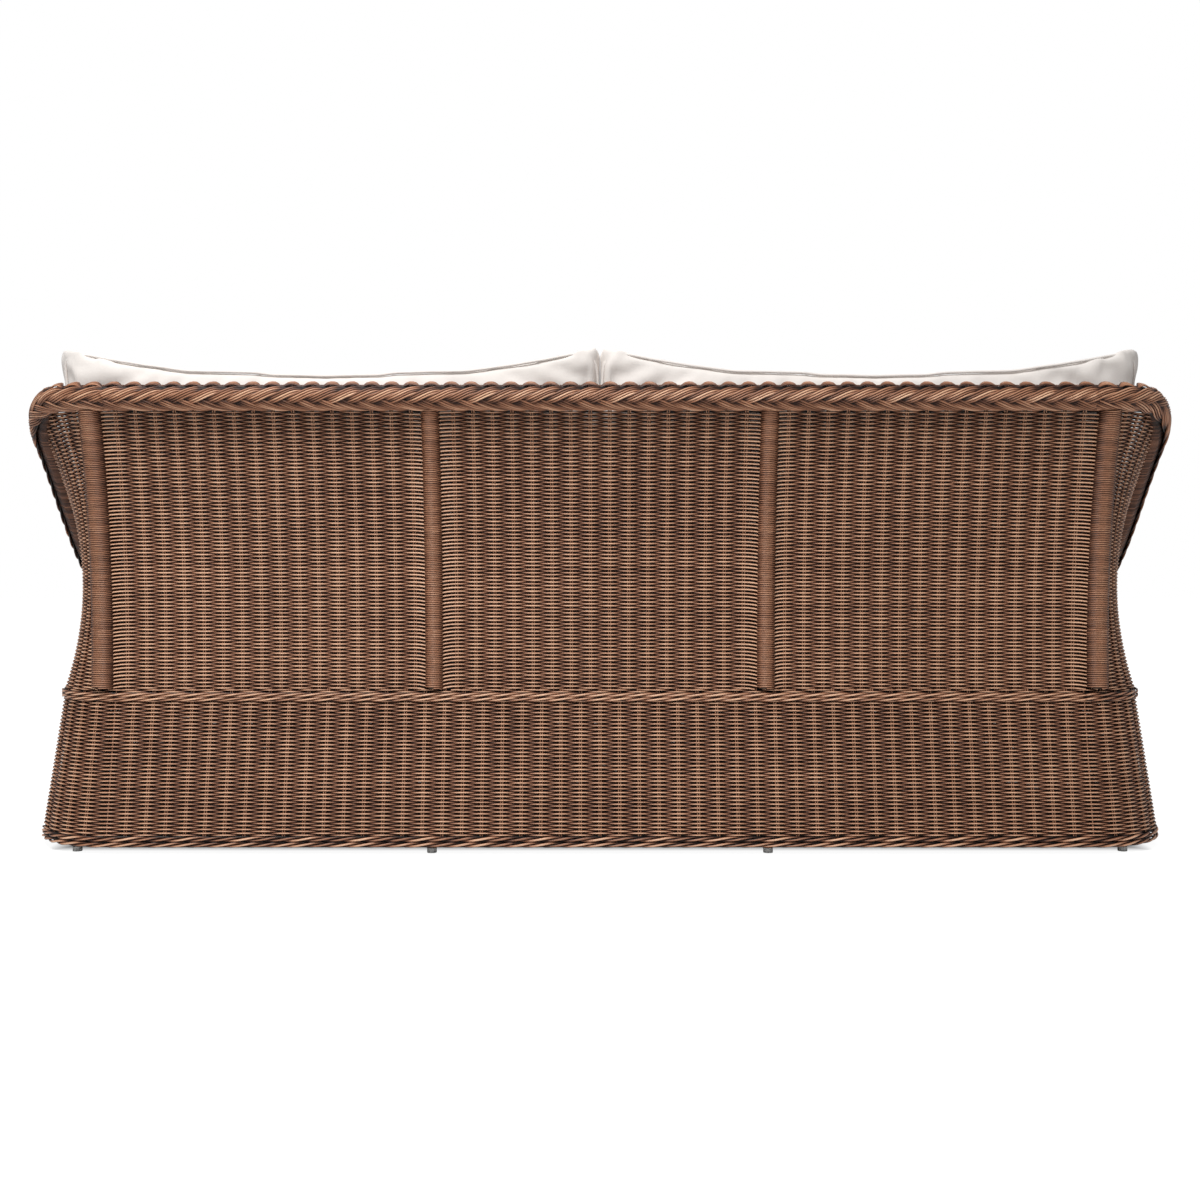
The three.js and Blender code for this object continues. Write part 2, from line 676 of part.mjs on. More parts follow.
// Glides: plain pads under the floor rails, and plugs in the two front legs
function glide(plugHeight) {
  const padTop = hemClearance - seatGap;
  const plugRadius = (rimTubeRadius - tubeWall) * flatShare(tubeSegments) - seatGap;
  const points = [[0, 0], [glideRadius, 0], [glideRadius, padTop]];
  if (plugHeight > 0) {
    points[1][0] = rimTubeRadius;
    points[2][0] = rimTubeRadius;
    points.push([plugRadius, padTop], [plugRadius, padTop + plugHeight], [0, padTop + plugHeight]);
  } else {
    points.push([0, padTop]);
  }
  const profile = points.map(([radius, z]) => new THREE.Vector2(radius, z));
  return facingOut(welded(new THREE.LatheGeometry(profile, glideSides).rotateX(Math.PI / 2)));
}

function addGlides() {
  const corner = floorCornerPoint();
  const inner = innerFloorPoint();
  const places = [
    ["back_corner", corner.x, corner.y, 0],
    ["back_inner", inner.x, inner.y, 0],
    ["front_inner", innerPostX, floorRailFrontY, 0],
    ["front_leg", armLegHalfWidth(hemClearance), legY, glidePlugHeight],
  ];
  for (const [place, x, y, plug] of places) {
    const pad = glide(plug);
    for (const [side, sign] of sides) {
      add(`glide_${place}_${side}`, pad.clone().translate(sign * x, y, 0), "glide");
    }
  }
}

// Shares from -1 to 1 that crowd towards the ends
const finer = (share) => Math.sign(share) * (1 - (1 - Math.abs(share)) ** 1.5);

// A block whose places run from -1 to 1 each way, with finer steps towards its edges
function paddedBlock(across, deep, high, pointAt) {
  const block = welded(new THREE.BoxGeometry(2, 2, 2, across, deep, high));
  const position = block.getAttribute("position");
  for (let i = 0; i < position.count; i++) {
    const shares = [position.getX(i), position.getY(i), position.getZ(i)].map(finer);
    position.setXYZ(i, ...pointAt(...shares).toArray());
  }
  return facingOut(block);
}

// Moves a plan point of a rectangle on to the same rectangle with round corners
function roundCorner(x, y, halfX, halfY, radius) {
  const overX = Math.max(Math.abs(x) - (halfX - radius), 0);
  const overY = Math.max(Math.abs(y) - (halfY - radius), 0);
  const length = Math.hypot(overX, overY);
  const keep = length > 0 ? Math.max(overX, overY) / length : 1;
  return [x - Math.sign(x) * overX * (1 - keep), y - Math.sign(y) * overY * (1 - keep)];
}

const crownOf = (u, v) => (1 - u ** 4) * (1 - v ** 4);
const seatCushionRows = 8;

function seatCushionPoint(u, v, w) {
  const halfX = (frontEdge(skirtTopZ) - seatCushionFrontGap - cushionSplit) / 2;
  const halfY = (seatCushionRearY - seatCushionFrontY) / 2;
  const drawnX = halfX - cushionDraw * (1 - v * v) - seatBoxBulge * w * w;
  const drawnY = halfY - cushionDraw * (1 - u * u) - seatBoxBulge * w * w;
  const [x, y] = roundCorner(u * halfX, v * halfY, halfX, halfY, seatCushionCorner);
  const taper = seatCushionTaper * clamp(v + 1, 0, 1) * (u + 1) / 2;
  const placeX = cushionSplit + halfX + x * drawnX / halfX - taper;
  const placeY = seatCushionFrontY + halfY + y * drawnY / halfY;
  const box = (seatCushionHeight - seatCushionCrown) * (w + 1) / 2;
  return vector(placeX, placeY, seatCushionBottomZ + box + seatCushionCrown * crownOf(u, v) * Math.max(w, 0));
}

const seatCushion = () => paddedBlock(10, seatCushionRows, 4, seatCushionPoint);

// Height of a seat cushion's top face, as meshed, at a distance along the middle of its depth
function seatCrownZ(y) {
  const rows = evenly(-1, 1, seatCushionRows).map((share) => seatCushionPoint(0, finer(share), 1));
  const next = rows.findIndex((point) => point.y > y);
  const [before, after] = [rows[next - 1], rows[next]];
  return lerp(before.z, after.z, (y - before.y) / (after.y - before.y));
}

// Outer side of a back cushion: narrow between the arms, wider where the shell opens towards the roll
function backCushionSide(z) {
  const share = clamp((z - backCushionFlareZ) / backCushionFlareHeight, 0, 1);
  const narrow = bandHalfWidth - halfSheet - sideWaist + bandSideInset / 2 - backCushionLowerGap;
  const wide = rimHalfWidth - rollRadius - backCushionUpperGap;
  return lerp(narrow, wide, share * share * (3 - 2 * share));
}

function backCushionRear(z) {
  const followed = upperSection(Math.min(z, rimBackZ), 0).back - cornerWrapRadius - backCushionPostGap;
  const rollFace = rimBackY - rollRadius - cornerWrapRadius / 2;
  return Math.min(followed, rollFace);
}

// Moves a point near a rectangle's corner on to a round one, given its distances from the two sides
function roundedAt(fromSide, fromEnd, radius) {
  const [overX, overY] = [Math.max(radius - fromSide, 0), Math.max(radius - fromEnd, 0)];
  const keep = overX * overY > 0 ? Math.max(overX, overY) / Math.hypot(overX, overY) : 1;
  return [fromSide + overX * (1 - keep), fromEnd + overY * (1 - keep)];
}

function backCushion() {
  const frontY = backCushionRear(skirtTopZ) - backCushionEdge;
  const bottomZ = seatCrownZ(frontY) + seatGap;
  return paddedBlock(12, 5, 8, (u, v, w) => {
    const top = backCushionTopZ - backCushionTopDip * (1 - Math.abs(u) ** 2.6);
    const z = lerp(bottomZ, top, (w + 1) / 2);
    const width = backCushionSide(z) - cushionSplit;
    const thickness = lerp(backCushionEdge, backCushionThickness, crownOf(u, w));
    const [fromEnd, fromRear] = [width * (1 - u) / 2, thickness * (1 - v) / 2];
    const outer = roundedAt(fromEnd, fromRear, backCushionCorner);
    const inner = roundedAt(width - outer[0], outer[1], backCushionSoftCorner);
    const front = roundedAt(inner[0], thickness - inner[1], backCushionSoftCorner);
    return vector(cushionSplit + front[0], backCushionRear(z) - thickness + front[1], z);
  });
}

function addCushions() {
  for (const [side, sign] of sides) {
    add(`seat_cushion_${side}`, mirrored(seatCushion(), sign), "canvas");
    add(`back_cushion_${side}`, mirrored(backCushion(), sign), "canvas");
  }
}

addRoll();
addPosts();
addBackPanels();
addArmPanels();
addSkirt();
addSeatBand();
addHemRope();
addFrame();
addDeck();
addGlides();
addCushions();

export default sofa;
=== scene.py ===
"""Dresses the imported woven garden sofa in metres: strands, plaits, bands, wraps and sewn cushions."""

import json
import math

import bmesh
import bpy
import numpy as np
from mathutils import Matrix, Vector
from mathutils.bvhtree import BVHTree
from mathutils.kdtree import KDTree


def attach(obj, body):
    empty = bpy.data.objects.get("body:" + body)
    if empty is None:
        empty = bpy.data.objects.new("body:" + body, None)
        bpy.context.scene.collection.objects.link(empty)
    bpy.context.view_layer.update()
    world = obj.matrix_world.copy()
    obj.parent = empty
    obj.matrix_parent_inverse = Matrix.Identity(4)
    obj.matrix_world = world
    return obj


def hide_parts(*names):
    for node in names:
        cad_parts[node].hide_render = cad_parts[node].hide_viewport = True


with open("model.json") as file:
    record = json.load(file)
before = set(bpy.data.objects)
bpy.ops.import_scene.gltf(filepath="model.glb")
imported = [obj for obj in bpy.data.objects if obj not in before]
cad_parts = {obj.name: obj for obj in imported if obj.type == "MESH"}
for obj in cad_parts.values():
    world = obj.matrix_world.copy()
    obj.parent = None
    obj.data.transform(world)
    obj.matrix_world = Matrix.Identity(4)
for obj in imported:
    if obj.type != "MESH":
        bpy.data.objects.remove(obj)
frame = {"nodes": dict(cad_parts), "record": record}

# Edge roll: its centre line runs along the back, round the corners and down into the arms and front legs.
BACK_RIM_Z = 0.843
ARM_RIM_Z = 0.488
RIM_HALF_WIDTH = 1.063
RIM_BACK_Y = 0.423
RIM_CORNER_RADIUS = 0.150
RIM_CORNER_LENGTH = RIM_CORNER_RADIUS * math.pi / 2
CORNER_X = 0.913
RIM_CORNER_Y = RIM_BACK_Y - RIM_CORNER_RADIUS
SWOOP_START = 0.080
SWOOP_LENGTH = 0.535
FRONT_BEND_RADIUS = 0.090
LEG_Y = -0.423
BEND_START = RIM_CORNER_LENGTH + RIM_CORNER_Y - (LEG_Y + FRONT_BEND_RADIUS)
BEND_LENGTH = FRONT_BEND_RADIUS * math.pi / 2
LEG_BEND_SHARE = 0.2
ROLL_JOINT_X = 0.903
LEG_END_Z = 0.009
PATH_SPACING = 0.006

# Woven sheets: the middle line of each wall, as a half width and a back line at each height.
BAND_Z = 0.300
BAND_HALF_WIDTH = 1.038
BAND_BACK_Y = 0.340
SIDE_WAIST = 0.066
BACK_WAIST = 0.027
HEM_Z = 0.0225
HEM_HALF_WIDTH = 1.071
HEM_FRONT_HALF_WIDTH = 1.062
HEM_BACK_Y = 0.402
HEM_FRONT_FLARE = 0.012
SKIRT_BOTTOM_Z = 0.033
SKIRT_SHEET_ROWS = 16
PANEL_BOTTOM_Z = BAND_Z - 0.004
BACK_PANEL_TOP_Z = 0.830
BACK_LAST_ROW_Z = 0.8185
ARM_PANEL_TOP_Z = 0.829
ARM_PANEL_END_Y = LEG_Y + 0.013
ROLL_TO_PANEL = 0.014
FRONT_CORNER_Y = -0.3957
INNER_POST_X = 0.3121
CORNER_POST_X = 0.9363
INNER_WRAP_RADIUS = 0.0185
CORNER_WRAP_RADIUS = 0.023

# Bands: how high each stands, and how proud of its wall.
SEAT_BAND_Z = 0.285
SEAT_BAND_PROUD = 0.0055
HEM_BAND_Z = HEM_Z + 0.0007
HEM_SHAPE = {"Row gap": 0.0104, "Depth": 0.0040, "Rise": 0.0032, "Strand width": 0.0046}

# Strands: every weaver and stake is a round length of about this width.
STRAND_WIDTH = 0.0039
ROW_PITCH = 0.00345
STAKE_WIDTH = 0.0034
STAKE_GAP = 0.0040
WEAVE_RELIEF = 0.0030
# Painted shade: how much darker a strand is painted as its face turns from the way it is painted lit from.
SIDE_SHADE = 0.8

# Cushions: the mesh they start from, the seams and the filling.
CUSHION_NAMES = ("seat_cushion_left", "seat_cushion_right", "back_cushion_left", "back_cushion_right")
BACK_CUSHION_LEAN = math.radians(12)
CUSHION_VOXEL = 0.012
CUSHION_MARGINS = (0.001, 0.009, 0.009)
SEAM_SPACING = 0.006
SEAM_HOLD = 0.010
PIPING_WIDTH = 0.0056
FILL_MOMENTS = 20
WALL_SWELL = 0.005
PANEL_SWELL = 0.022


def tint(red, green, blue):
    """A colour read as 0 to 255, as the shader wants it."""
    shares = [level / 255 for level in (red, green, blue)]
    return (*(((s + 0.055) / 1.055) ** 2.4 if s > 0.04 else s / 12.92 for s in shares), 1.0)


# Formulas written as sums of nodes


def give(tree, socket, value):
    """Gives a socket its value: a link from another node or a plain one."""
    if isinstance(value, Term):
        tree.links.new(value.socket, socket)
    elif isinstance(value, bpy.types.NodeSocket):
        tree.links.new(value, socket)
    else:
        socket.default_value = value


def step(tree, kind, values=None, **options):
    """Adds one node, sets its options and gives its inputs their values."""
    node = tree.nodes.new(kind)
    for option, choice in options.items():
        setattr(node, option, choice)
    for name, value in (values or {}).items():
        give(tree, node.inputs[name], value)
    return node


class Term:
    """A number in a node tree that adds and multiplies like a plain one."""

    def __init__(self, tree, socket):
        self.tree = tree
        self.socket = socket

    def worked(self, operation, *others, turned=False):
        node = self.tree.nodes.new("ShaderNodeMath")
        node.operation = operation
        terms = [self, *others]
        if turned:
            terms.reverse()
        for socket, term in zip(node.inputs, terms):
            give(self.tree, socket, term)
        return Term(self.tree, node.outputs[0])

    def __add__(self, other):
        return self.worked("ADD", other)

    def __sub__(self, other):
        return self.worked("SUBTRACT", other)

    def __rsub__(self, other):
        return self.worked("SUBTRACT", other, turned=True)

    def __mul__(self, other):
        return self.worked("MULTIPLY", other)

    def __truediv__(self, other):
        return self.worked("DIVIDE", other)

    def __neg__(self):
        return self.worked("MULTIPLY", -1.0)

    __radd__ = __add__
    __rmul__ = __mul__

    def sine(self):
        return self.worked("SINE")

    def cosine(self):
        return self.worked("COSINE")

    def root(self):
        return self.worked("SQRT")

    def whole(self):
        return self.worked("FLOOR")

    def within(self, low, high):
        return self.worked("MAXIMUM", low).worked("MINIMUM", high)


class Arrow(Term):
    """A vector in a node tree."""

    def joined(self, operation, values):
        node = step(self.tree, "ShaderNodeVectorMath", operation=operation)
        for place, value in values.items():
            give(self.tree, node.inputs[place], value)
        return Arrow(self.tree, node.outputs["Vector"])

    def __add__(self, other):
        return self.joined("ADD", {0: self, 1: other})

    def __mul__(self, amount):
        return self.joined("SCALE", {0: self, "Scale": amount})

    def cross(self, other):
        return self.joined("CROSS_PRODUCT", {0: self, 1: other})

    def dot(self, other):
        node = step(self.tree, "ShaderNodeVectorMath", {0: self, 1: other}, operation="DOT_PRODUCT")
        return Term(self.tree, node.outputs["Value"])

    def parts(self):
        node = step(self.tree, "ShaderNodeSeparateXYZ", {"Vector": self})
        return [Term(self.tree, socket) for socket in node.outputs]


def arrow(tree, across, along=0.0, up=0.0):
    """A vector from its three numbers."""
    return Arrow(tree, step(tree, "ShaderNodeCombineXYZ", {"X": across, "Y": along, "Z": up}).outputs[0])


def attribute(tree, name, vector=False):
    """A value that the guide mesh carries at each point."""
    kind = "FLOAT_VECTOR" if vector else "FLOAT"
    socket = step(tree, "GeometryNodeInputNamedAttribute", {"Name": name}, data_type=kind).outputs[0]
    return Arrow(tree, socket) if vector else Term(tree, socket)


def position(tree):
    """The place of each point."""
    return Arrow(tree, step(tree, "GeometryNodeInputPosition").outputs[0])


def surface_normal(tree):
    """The way that each point's surface faces."""
    return Arrow(tree, step(tree, "GeometryNodeInputNormal").outputs[0])


WHOLE = "NodeSocketInt"
LENGTH = "NodeSocketFloat"
FINISH = "NodeSocketMaterial"


def new_recipe(name, sizes):
    """Starts a Geometry Nodes tree with named inputs. Returns the tree, and its inputs by name."""
    tree = bpy.data.node_groups.new(name, "GeometryNodeTree")
    tree.interface.new_socket("Guide", in_out="INPUT", socket_type="NodeSocketGeometry")
    for title, kind in sizes.items():
        tree.interface.new_socket(title, in_out="INPUT", socket_type=kind)
    tree.interface.new_socket("Made", in_out="OUTPUT", socket_type="NodeSocketGeometry")
    entry = tree.nodes.new("NodeGroupInput")
    return tree, {title: Term(tree, entry.outputs[title]) for title in ["Guide", *sizes]}


def end_recipe(tree, parts, finish):
    """Joins the parts, makes their instances real, smooths them and gives them their material."""
    join = step(tree, "GeometryNodeJoinGeometry")
    for part in parts:
        tree.links.new(part, join.inputs[0])
    smooth = step(tree, "GeometryNodeSetShadeSmooth", {"Geometry": join.outputs[0], "Shade Smooth": True})
    real = step(tree, "GeometryNodeRealizeInstances", {"Geometry": smooth.outputs[0]})
    painted = step(tree, "GeometryNodeSetMaterial", {"Geometry": real.outputs[0], "Material": finish})
    give(tree, tree.nodes.new("NodeGroupOutput").inputs[0], painted.outputs[0])


def stored(tree, geometry, name, value):
    """Keeps a value at each point under a name, so that a later step or a material reads it."""
    kind = "FLOAT_VECTOR" if isinstance(value, Arrow) else "FLOAT"
    values = {"Geometry": geometry, "Name": name, "Value": value}
    return step(tree, "GeometryNodeStoreNamedAttribute", values, data_type=kind, domain="POINT").outputs[0]


def with_painted_light(tree, curves, way, share):
    """Stores the painted light of strands: the way they are painted as lit from, and how lit, from 0 to 1;
    low shares are painted shade.
    """
    return stored(tree, stored(tree, curves, "painted_light_way", way), "painted_light_share", share)


def strand_tone(tree, curves, number, seed, spread=1.0):
    """Stores each strand's own tone and the distance along it, which the strand materials read."""
    chance = step(tree, "FunctionNodeRandomValue", {"ID": number, "Seed": seed}, data_type="FLOAT")
    tone = Term(tree, next(socket for socket in chance.outputs if socket.type == "VALUE"))
    length = Term(tree, step(tree, "GeometryNodeSplineParameter").outputs["Length"])
    return stored(tree, stored(tree, curves, "tone", (tone - 0.5) * spread + 0.5), "run", length)


def strand_tubes(tree, curves, width, sides, least=0.5):
    """Turns curves into closed strands. Each point keeps its painted light from 0 to 1, painted darker as its
    face turns away from the way it is painted lit from.
    """
    circle = step(tree, "GeometryNodeCurvePrimitiveCircle", {"Resolution": sides, "Radius": width * 0.5})
    tubes = step(tree, "GeometryNodeCurveToMesh", {
        "Curve": curves, "Profile Curve": circle.outputs[0], "Fill Caps": True,
    })
    facing = surface_normal(tree).dot(attribute(tree, "painted_light_way", vector=True))
    share, rear = attribute(tree, "painted_light_share"), attribute(tree, "painted_light_rear")
    front = (share + (facing - 1) * SIDE_SHADE).worked("MAXIMUM", share * least)
    behind = rear - (facing + 1) * SIDE_SHADE
    return stored(tree, tubes.outputs[0], "open", front.worked("MAXIMUM", behind))


def moved(tree, curves, place):
    """Puts each point at a place."""
    return step(tree, "GeometryNodeSetPosition", {"Geometry": curves, "Position": place}).outputs[0]


def without(tree, geometry, chosen, domain):
    """Drops the chosen points or curves."""
    values = {"Geometry": geometry, "Selection": chosen}
    return step(tree, "GeometryNodeDeleteGeometry", values, domain=domain).outputs[0]


def on_sheet(tree, guide, value, place):
    """Reads a vector of the guide sheet at a place of its weave map, and whether the sheet is there."""
    node = step(tree, "GeometryNodeSampleUVSurface", {
        "Mesh": guide, "Value": value, "Sample UV": place,
        "Source UV Map": attribute(tree, "weave", vector=True),
    }, data_type="FLOAT_VECTOR")
    return Arrow(tree, node.outputs["Value"]), Term(tree, node.outputs["Is Valid"])


def laid_on_sheet(tree, guide, curves, place, proud, painted_light_shares, number, seed):
    """Lays flat curves on the guide sheet, standing proud of it, and drops what is past its edge."""
    fewest_points = 3
    spot, held = on_sheet(tree, guide, position(tree), place)
    normal, _ = on_sheet(tree, guide, surface_normal(tree), place)
    gone = step(tree, "FunctionNodeBooleanMath", {0: held}, operation="NOT").outputs[0]
    kept = without(tree, curves, gone, "POINT")
    points = Term(tree, step(tree, "GeometryNodeSplineLength").outputs["Point Count"])
    long_ones = without(tree, kept, points.worked("LESS_THAN", fewest_points), "CURVE")
    # The two shares are painted light on the outside and inside of the sheet; a low share paints a strand in
    # shade.
    outside, inside = painted_light_shares
    shaded = with_painted_light(tree, strand_tone(tree, long_ones, number, seed), normal, outside)
    return moved(tree, stored(tree, shaded, "painted_light_rear", inside), spot + normal * proud)


def repeated_lines(tree, first, last, points, count, start, stride):
    """A straight line of points from first to last, repeated from start with a stride."""
    line = step(tree, "GeometryNodeCurvePrimitiveLine", {"Start": first, "End": last}).outputs[0]
    even = step(tree, "GeometryNodeResampleCurve", {"Curve": line, "Count": points}, mode="COUNT").outputs[0]
    places = step(tree, "GeometryNodeMeshLine", {"Count": count, "Start Location": start, "Offset": stride})
    set_out = step(tree, "GeometryNodeInstanceOnPoints", {"Points": places.outputs[0], "Instance": even})
    return step(tree, "GeometryNodeRealizeInstances", {"Geometry": set_out.outputs[0]}).outputs[0]


def weave_recipe():
    """Weavers that pass in front of one pair of stakes and behind the next, and the stakes, on a sheet."""
    tree, size = new_recipe("woven sheet", {
        "Intervals": WHOLE, "Rows": WHOLE, "Sheet height": LENGTH, "Row pitch": LENGTH,
        "Strand width": LENGTH, "Relief": LENGTH, "Start reach": LENGTH, "End reach": LENGTH, "Sag": LENGTH,
        "Stake width": LENGTH, "Stake gap": LENGTH, "Interval width": LENGTH, "First stake": WHOLE,
        "Stakes": WHOLE, "Start hold": LENGTH, "End hold": LENGTH, "Seed": WHOLE, "Finish": FINISH,
    })
    points_per_interval, stake_point_spacing, strand_sides = 4, 0.012, 4
    drift_per_interval, drift_per_row = 0.6, 3.7
    wander_out, wander_up, less_sag_at_top = 0.0006, 0.0008, 0.8
    stake_painted_light, first_stake_number = 0.85, 900
    guide, intervals, tall = size["Guide"], size["Intervals"], size["Sheet height"]
    pitch = size["Row pitch"] / tall
    rows = repeated_lines(tree, (0, 0, 0), (1, 0, 0), intervals * points_per_interval + 1, size["Rows"],
                          arrow(tree, 0.0, pitch * 0.5), arrow(tree, 0.0, pitch))
    across, up, _ = position(tree).parts()
    row = (up / pitch).whole()
    side = 1 - row.worked("MODULO", 2.0) * 2
    count = across * intervals
    near_start = (1 - count).within(0.0, 1.0)
    near_end = (count - intervals + 1).within(0.0, 1.0)
    reach = (size["Relief"] + (size["Start reach"] - size["Relief"]) * near_start
             + (size["End reach"] - size["Relief"]) * near_end)
    unevenness = step(tree, "ShaderNodeTexNoise", {
        "Vector": arrow(tree, count * drift_per_interval, row * drift_per_row, size["Seed"]),
        "Scale": 1.0, "Detail": 1.0,
    })
    wander = Term(tree, unevenness.outputs[0]) - 0.5
    held = count.within(size["Start hold"], intervals - size["End hold"])
    wave = side * (held * math.pi).cosine()
    proud = reach * wave + wander * wander_out
    droop = size["Sag"] * (near_start * near_start + near_end * near_end) * (1 - up * less_sag_at_top)
    height = up - (droop + wander * wander_up) / tall
    # Painted shade: a weaver is painted darker on the side where it lies behind the stakes, and lighter where
    # it passes in front.
    painted_light_sides = [(wave * way + 0.5).root() for way in (0.5, -0.5)]
    place = arrow(tree, across, height)
    woven_rows = laid_on_sheet(tree, guide, rows, place, proud, painted_light_sides, row, size["Seed"])
    weavers = strand_tubes(tree, woven_rows, size["Strand width"], strand_sides)

    twin_share = size["Stake gap"] * 0.5 / (size["Interval width"] * intervals)
    lines = repeated_lines(tree, (0, 0, 0), (0, 1, 0), (tall / stake_point_spacing).whole(),
                           size["Stakes"] * 2, (0, 0, 0), (1, 0, 0))
    number, up, _ = position(tree).parts()
    number = (number + 0.5).whole()
    twin = number.worked("MODULO", 2.0)
    beside = ((number - twin) * 0.5 + size["First stake"]) / intervals + (twin * 2 - 1) * twin_share
    # The stakes get one painted light share; the strand tubes paint their sides darker.
    even_painted_light = number * 0.0 + stake_painted_light
    stood = laid_on_sheet(tree, guide, lines, arrow(tree, beside, up), number * 0.0,
                          (even_painted_light, even_painted_light), number + first_stake_number, size["Seed"])
    stakes = strand_tubes(tree, stood, size["Stake width"], strand_sides)
    end_recipe(tree, [weavers, stakes], size["Finish"])
    return tree


def directions(tree):
    """The ways out from the sofa and up, which a guide path carries at each point."""
    return attribute(tree, "outward", vector=True), attribute(tree, "upward", vector=True)


def swung(outward, upward, angle):
    """The direction at an angle from outward towards upward."""
    return outward * angle.cosine() + upward * angle.sine()


def guide_curve(tree, size):
    """The guide path as a curve."""
    return step(tree, "GeometryNodeMeshToCurve", {"Mesh": size["Guide"]}).outputs[0]


def wrap_strands(tree, path, size, radius, pitch, turn_steps, toward, painted_light_aside, painted_light_gain):
    """One strand wound closely round a path. The gain is how much lighter it is painted towards one way:
    painted light and shade.
    """
    sides, tone_spread = 5, 0.6
    path_length = Term(tree, step(tree, "GeometryNodeCurveLength", {"Curve": path}).outputs[0])
    points = (path_length / pitch * turn_steps).whole()
    even = step(tree, "GeometryNodeResampleCurve", {"Curve": path, "Count": points}, mode="COUNT").outputs[0]
    index = Term(tree, step(tree, "GeometryNodeInputIndex").outputs[0])
    away = swung(*directions(tree), index * (2 * math.pi / turn_steps))
    toned = strand_tone(tree, even, (index / turn_steps).whole(), size["Seed"], tone_spread)
    share = away.dot(toward).within(0.0, 1.0) * painted_light_gain + painted_light_aside
    wound = moved(tree, with_painted_light(tree, toned, away, share), position(tree) + away * radius)
    return strand_tubes(tree, wound, size["Strand width"], sides)


def wrap_recipe():
    """A post wound from end to end with one strand."""
    tree, size = new_recipe("close wrap", {
        "Radius": LENGTH, "Pitch": LENGTH, "Strand width": LENGTH, "Seed": WHOLE, "Finish": FINISH,
    })
    # Painted light: the post's strand is painted lighter where it faces out and darker at the post's sides.
    turn_steps, painted_light_aside, painted_light_gain = 12, 0.50, 0.32
    outward, _ = directions(tree)
    path = guide_curve(tree, size)
    wound = wrap_strands(tree, path, size, size["Radius"], size["Pitch"], turn_steps, outward, painted_light_aside,
                         painted_light_gain)
    end_recipe(tree, [wound], size["Finish"])
    return tree


def copies(tree, path, amount):
    """Repeats a path, one copy for each strand. Returns the copies and each one's number."""
    node = step(tree, "GeometryNodeDuplicateElements", {"Geometry": path, "Amount": amount}, domain="SPLINE")
    return node.outputs[0], Term(tree, node.outputs[1])


def plait_recipe():
    """A flat plait bent round a wrapped core: each bundle lies on top to the middle, then under."""
    tree, size = new_recipe("plaited roll", {
        "Bundles": WHOLE, "Strands": WHOLE, "Repeat": LENGTH, "Swing": LENGTH, "Radius": LENGTH,
        "Depth": LENGTH, "Strand width": LENGTH, "Spacing": LENGTH, "Core radius": LENGTH,
        "Wrap pitch": LENGTH, "Loop height": LENGTH, "Seed": WHOLE, "Finish": FINISH,
    })
    # Painted light and shade of the plait: bundles on top are painted lighter, bundles passing under darker,
    # and the strands' sides darker down to a least share.
    strand_sides, least_painted_light = 6, 0.8
    squareness, tight, edge_fall = 0.08, 0.84, 0.00012
    top_painted_light, top_painted_light_gain = 0.50, 0.32
    path = guide_curve(tree, size)
    lean, station = attribute(tree, "lean"), attribute(tree, "station")
    outward, upward = directions(tree)
    centre = position(tree)

    lines, number = copies(tree, path, size["Bundles"] * size["Strands"])
    bundle = (number / size["Strands"]).whole()
    member = number - bundle * size["Strands"] - (size["Strands"] - 1) * 0.5
    phase = (station / size["Repeat"] + bundle / size["Bundles"]) * (2 * math.pi)
    swing = (phase.cosine() + (phase * 3).cosine() * squareness) / (1 + squareness)
    turn_rate = -(phase.sine() + (phase * 3).sine() * (3 * squareness)) / (1 + squareness)
    slope = size["Radius"] * size["Swing"] * turn_rate * (2 * math.pi) / size["Repeat"]
    slant = (slope * slope + 1).root()
    layer = (phase * 2).sine()
    layer = layer * (1.5 - layer * layer * 0.5)
    aside = member * size["Spacing"] * (tight + layer.within(0.0, 1.0) * (1 - tight))
    angle = lean + size["Swing"] * swing + aside / slant / size["Radius"]
    radius = size["Radius"] + size["Depth"] * layer - member * member * edge_fall
    away = swung(outward, upward, angle)
    place = centre + outward.cross(upward) * (-(aside * slope / slant)) + away * radius
    toned = strand_tone(tree, lines, number, size["Seed"])
    shaded = with_painted_light(tree, toned, away, layer * top_painted_light_gain + top_painted_light)
    plait = strand_tubes(tree, moved(tree, shaded, place), size["Strand width"], strand_sides, least_painted_light)

    # Painted shade: the core is painted darker where it faces the middle of the plait that lies over it.
    core_inset, core_steps, core_painted_light, core_painted_light_gain = 0.0030, 10, 0.66, -0.5
    middle = swung(outward, upward, lean)
    inner = moved(tree, path, centre + middle * -core_inset)
    core = wrap_strands(tree, inner, size, size["Core radius"], size["Wrap pitch"], core_steps, middle,
                        core_painted_light, core_painted_light_gain)

    loop_strands, first_loop_number, loop_aside, loop_rise = 4, 90, 0.22, 1.9
    # Painted light: the loops are painted lighter at the tops of their bumps.
    loop_painted_light, loop_painted_light_gain = 0.42, 0.35
    lines, number = copies(tree, path, loop_strands)
    bump = (station / size["Repeat"] * size["Bundles"] * math.pi).sine().worked("ABSOLUTE")
    edge = lean + size["Swing"] + loop_aside
    angle = edge + bump * (size["Loop height"] + number * size["Spacing"]) / size["Radius"]
    away = swung(outward, upward, angle)
    looped = centre + away * (size["Radius"] - size["Depth"] + bump * size["Depth"] * loop_rise)
    toned = strand_tone(tree, lines, number + first_loop_number, size["Seed"])
    shaded = with_painted_light(tree, toned, away, bump * loop_painted_light_gain + loop_painted_light)
    loops = strand_tubes(tree, moved(tree, shaded, looped), size["Strand width"], strand_sides, least_painted_light)
    end_recipe(tree, [plait, core, loops], size["Finish"])
    return tree


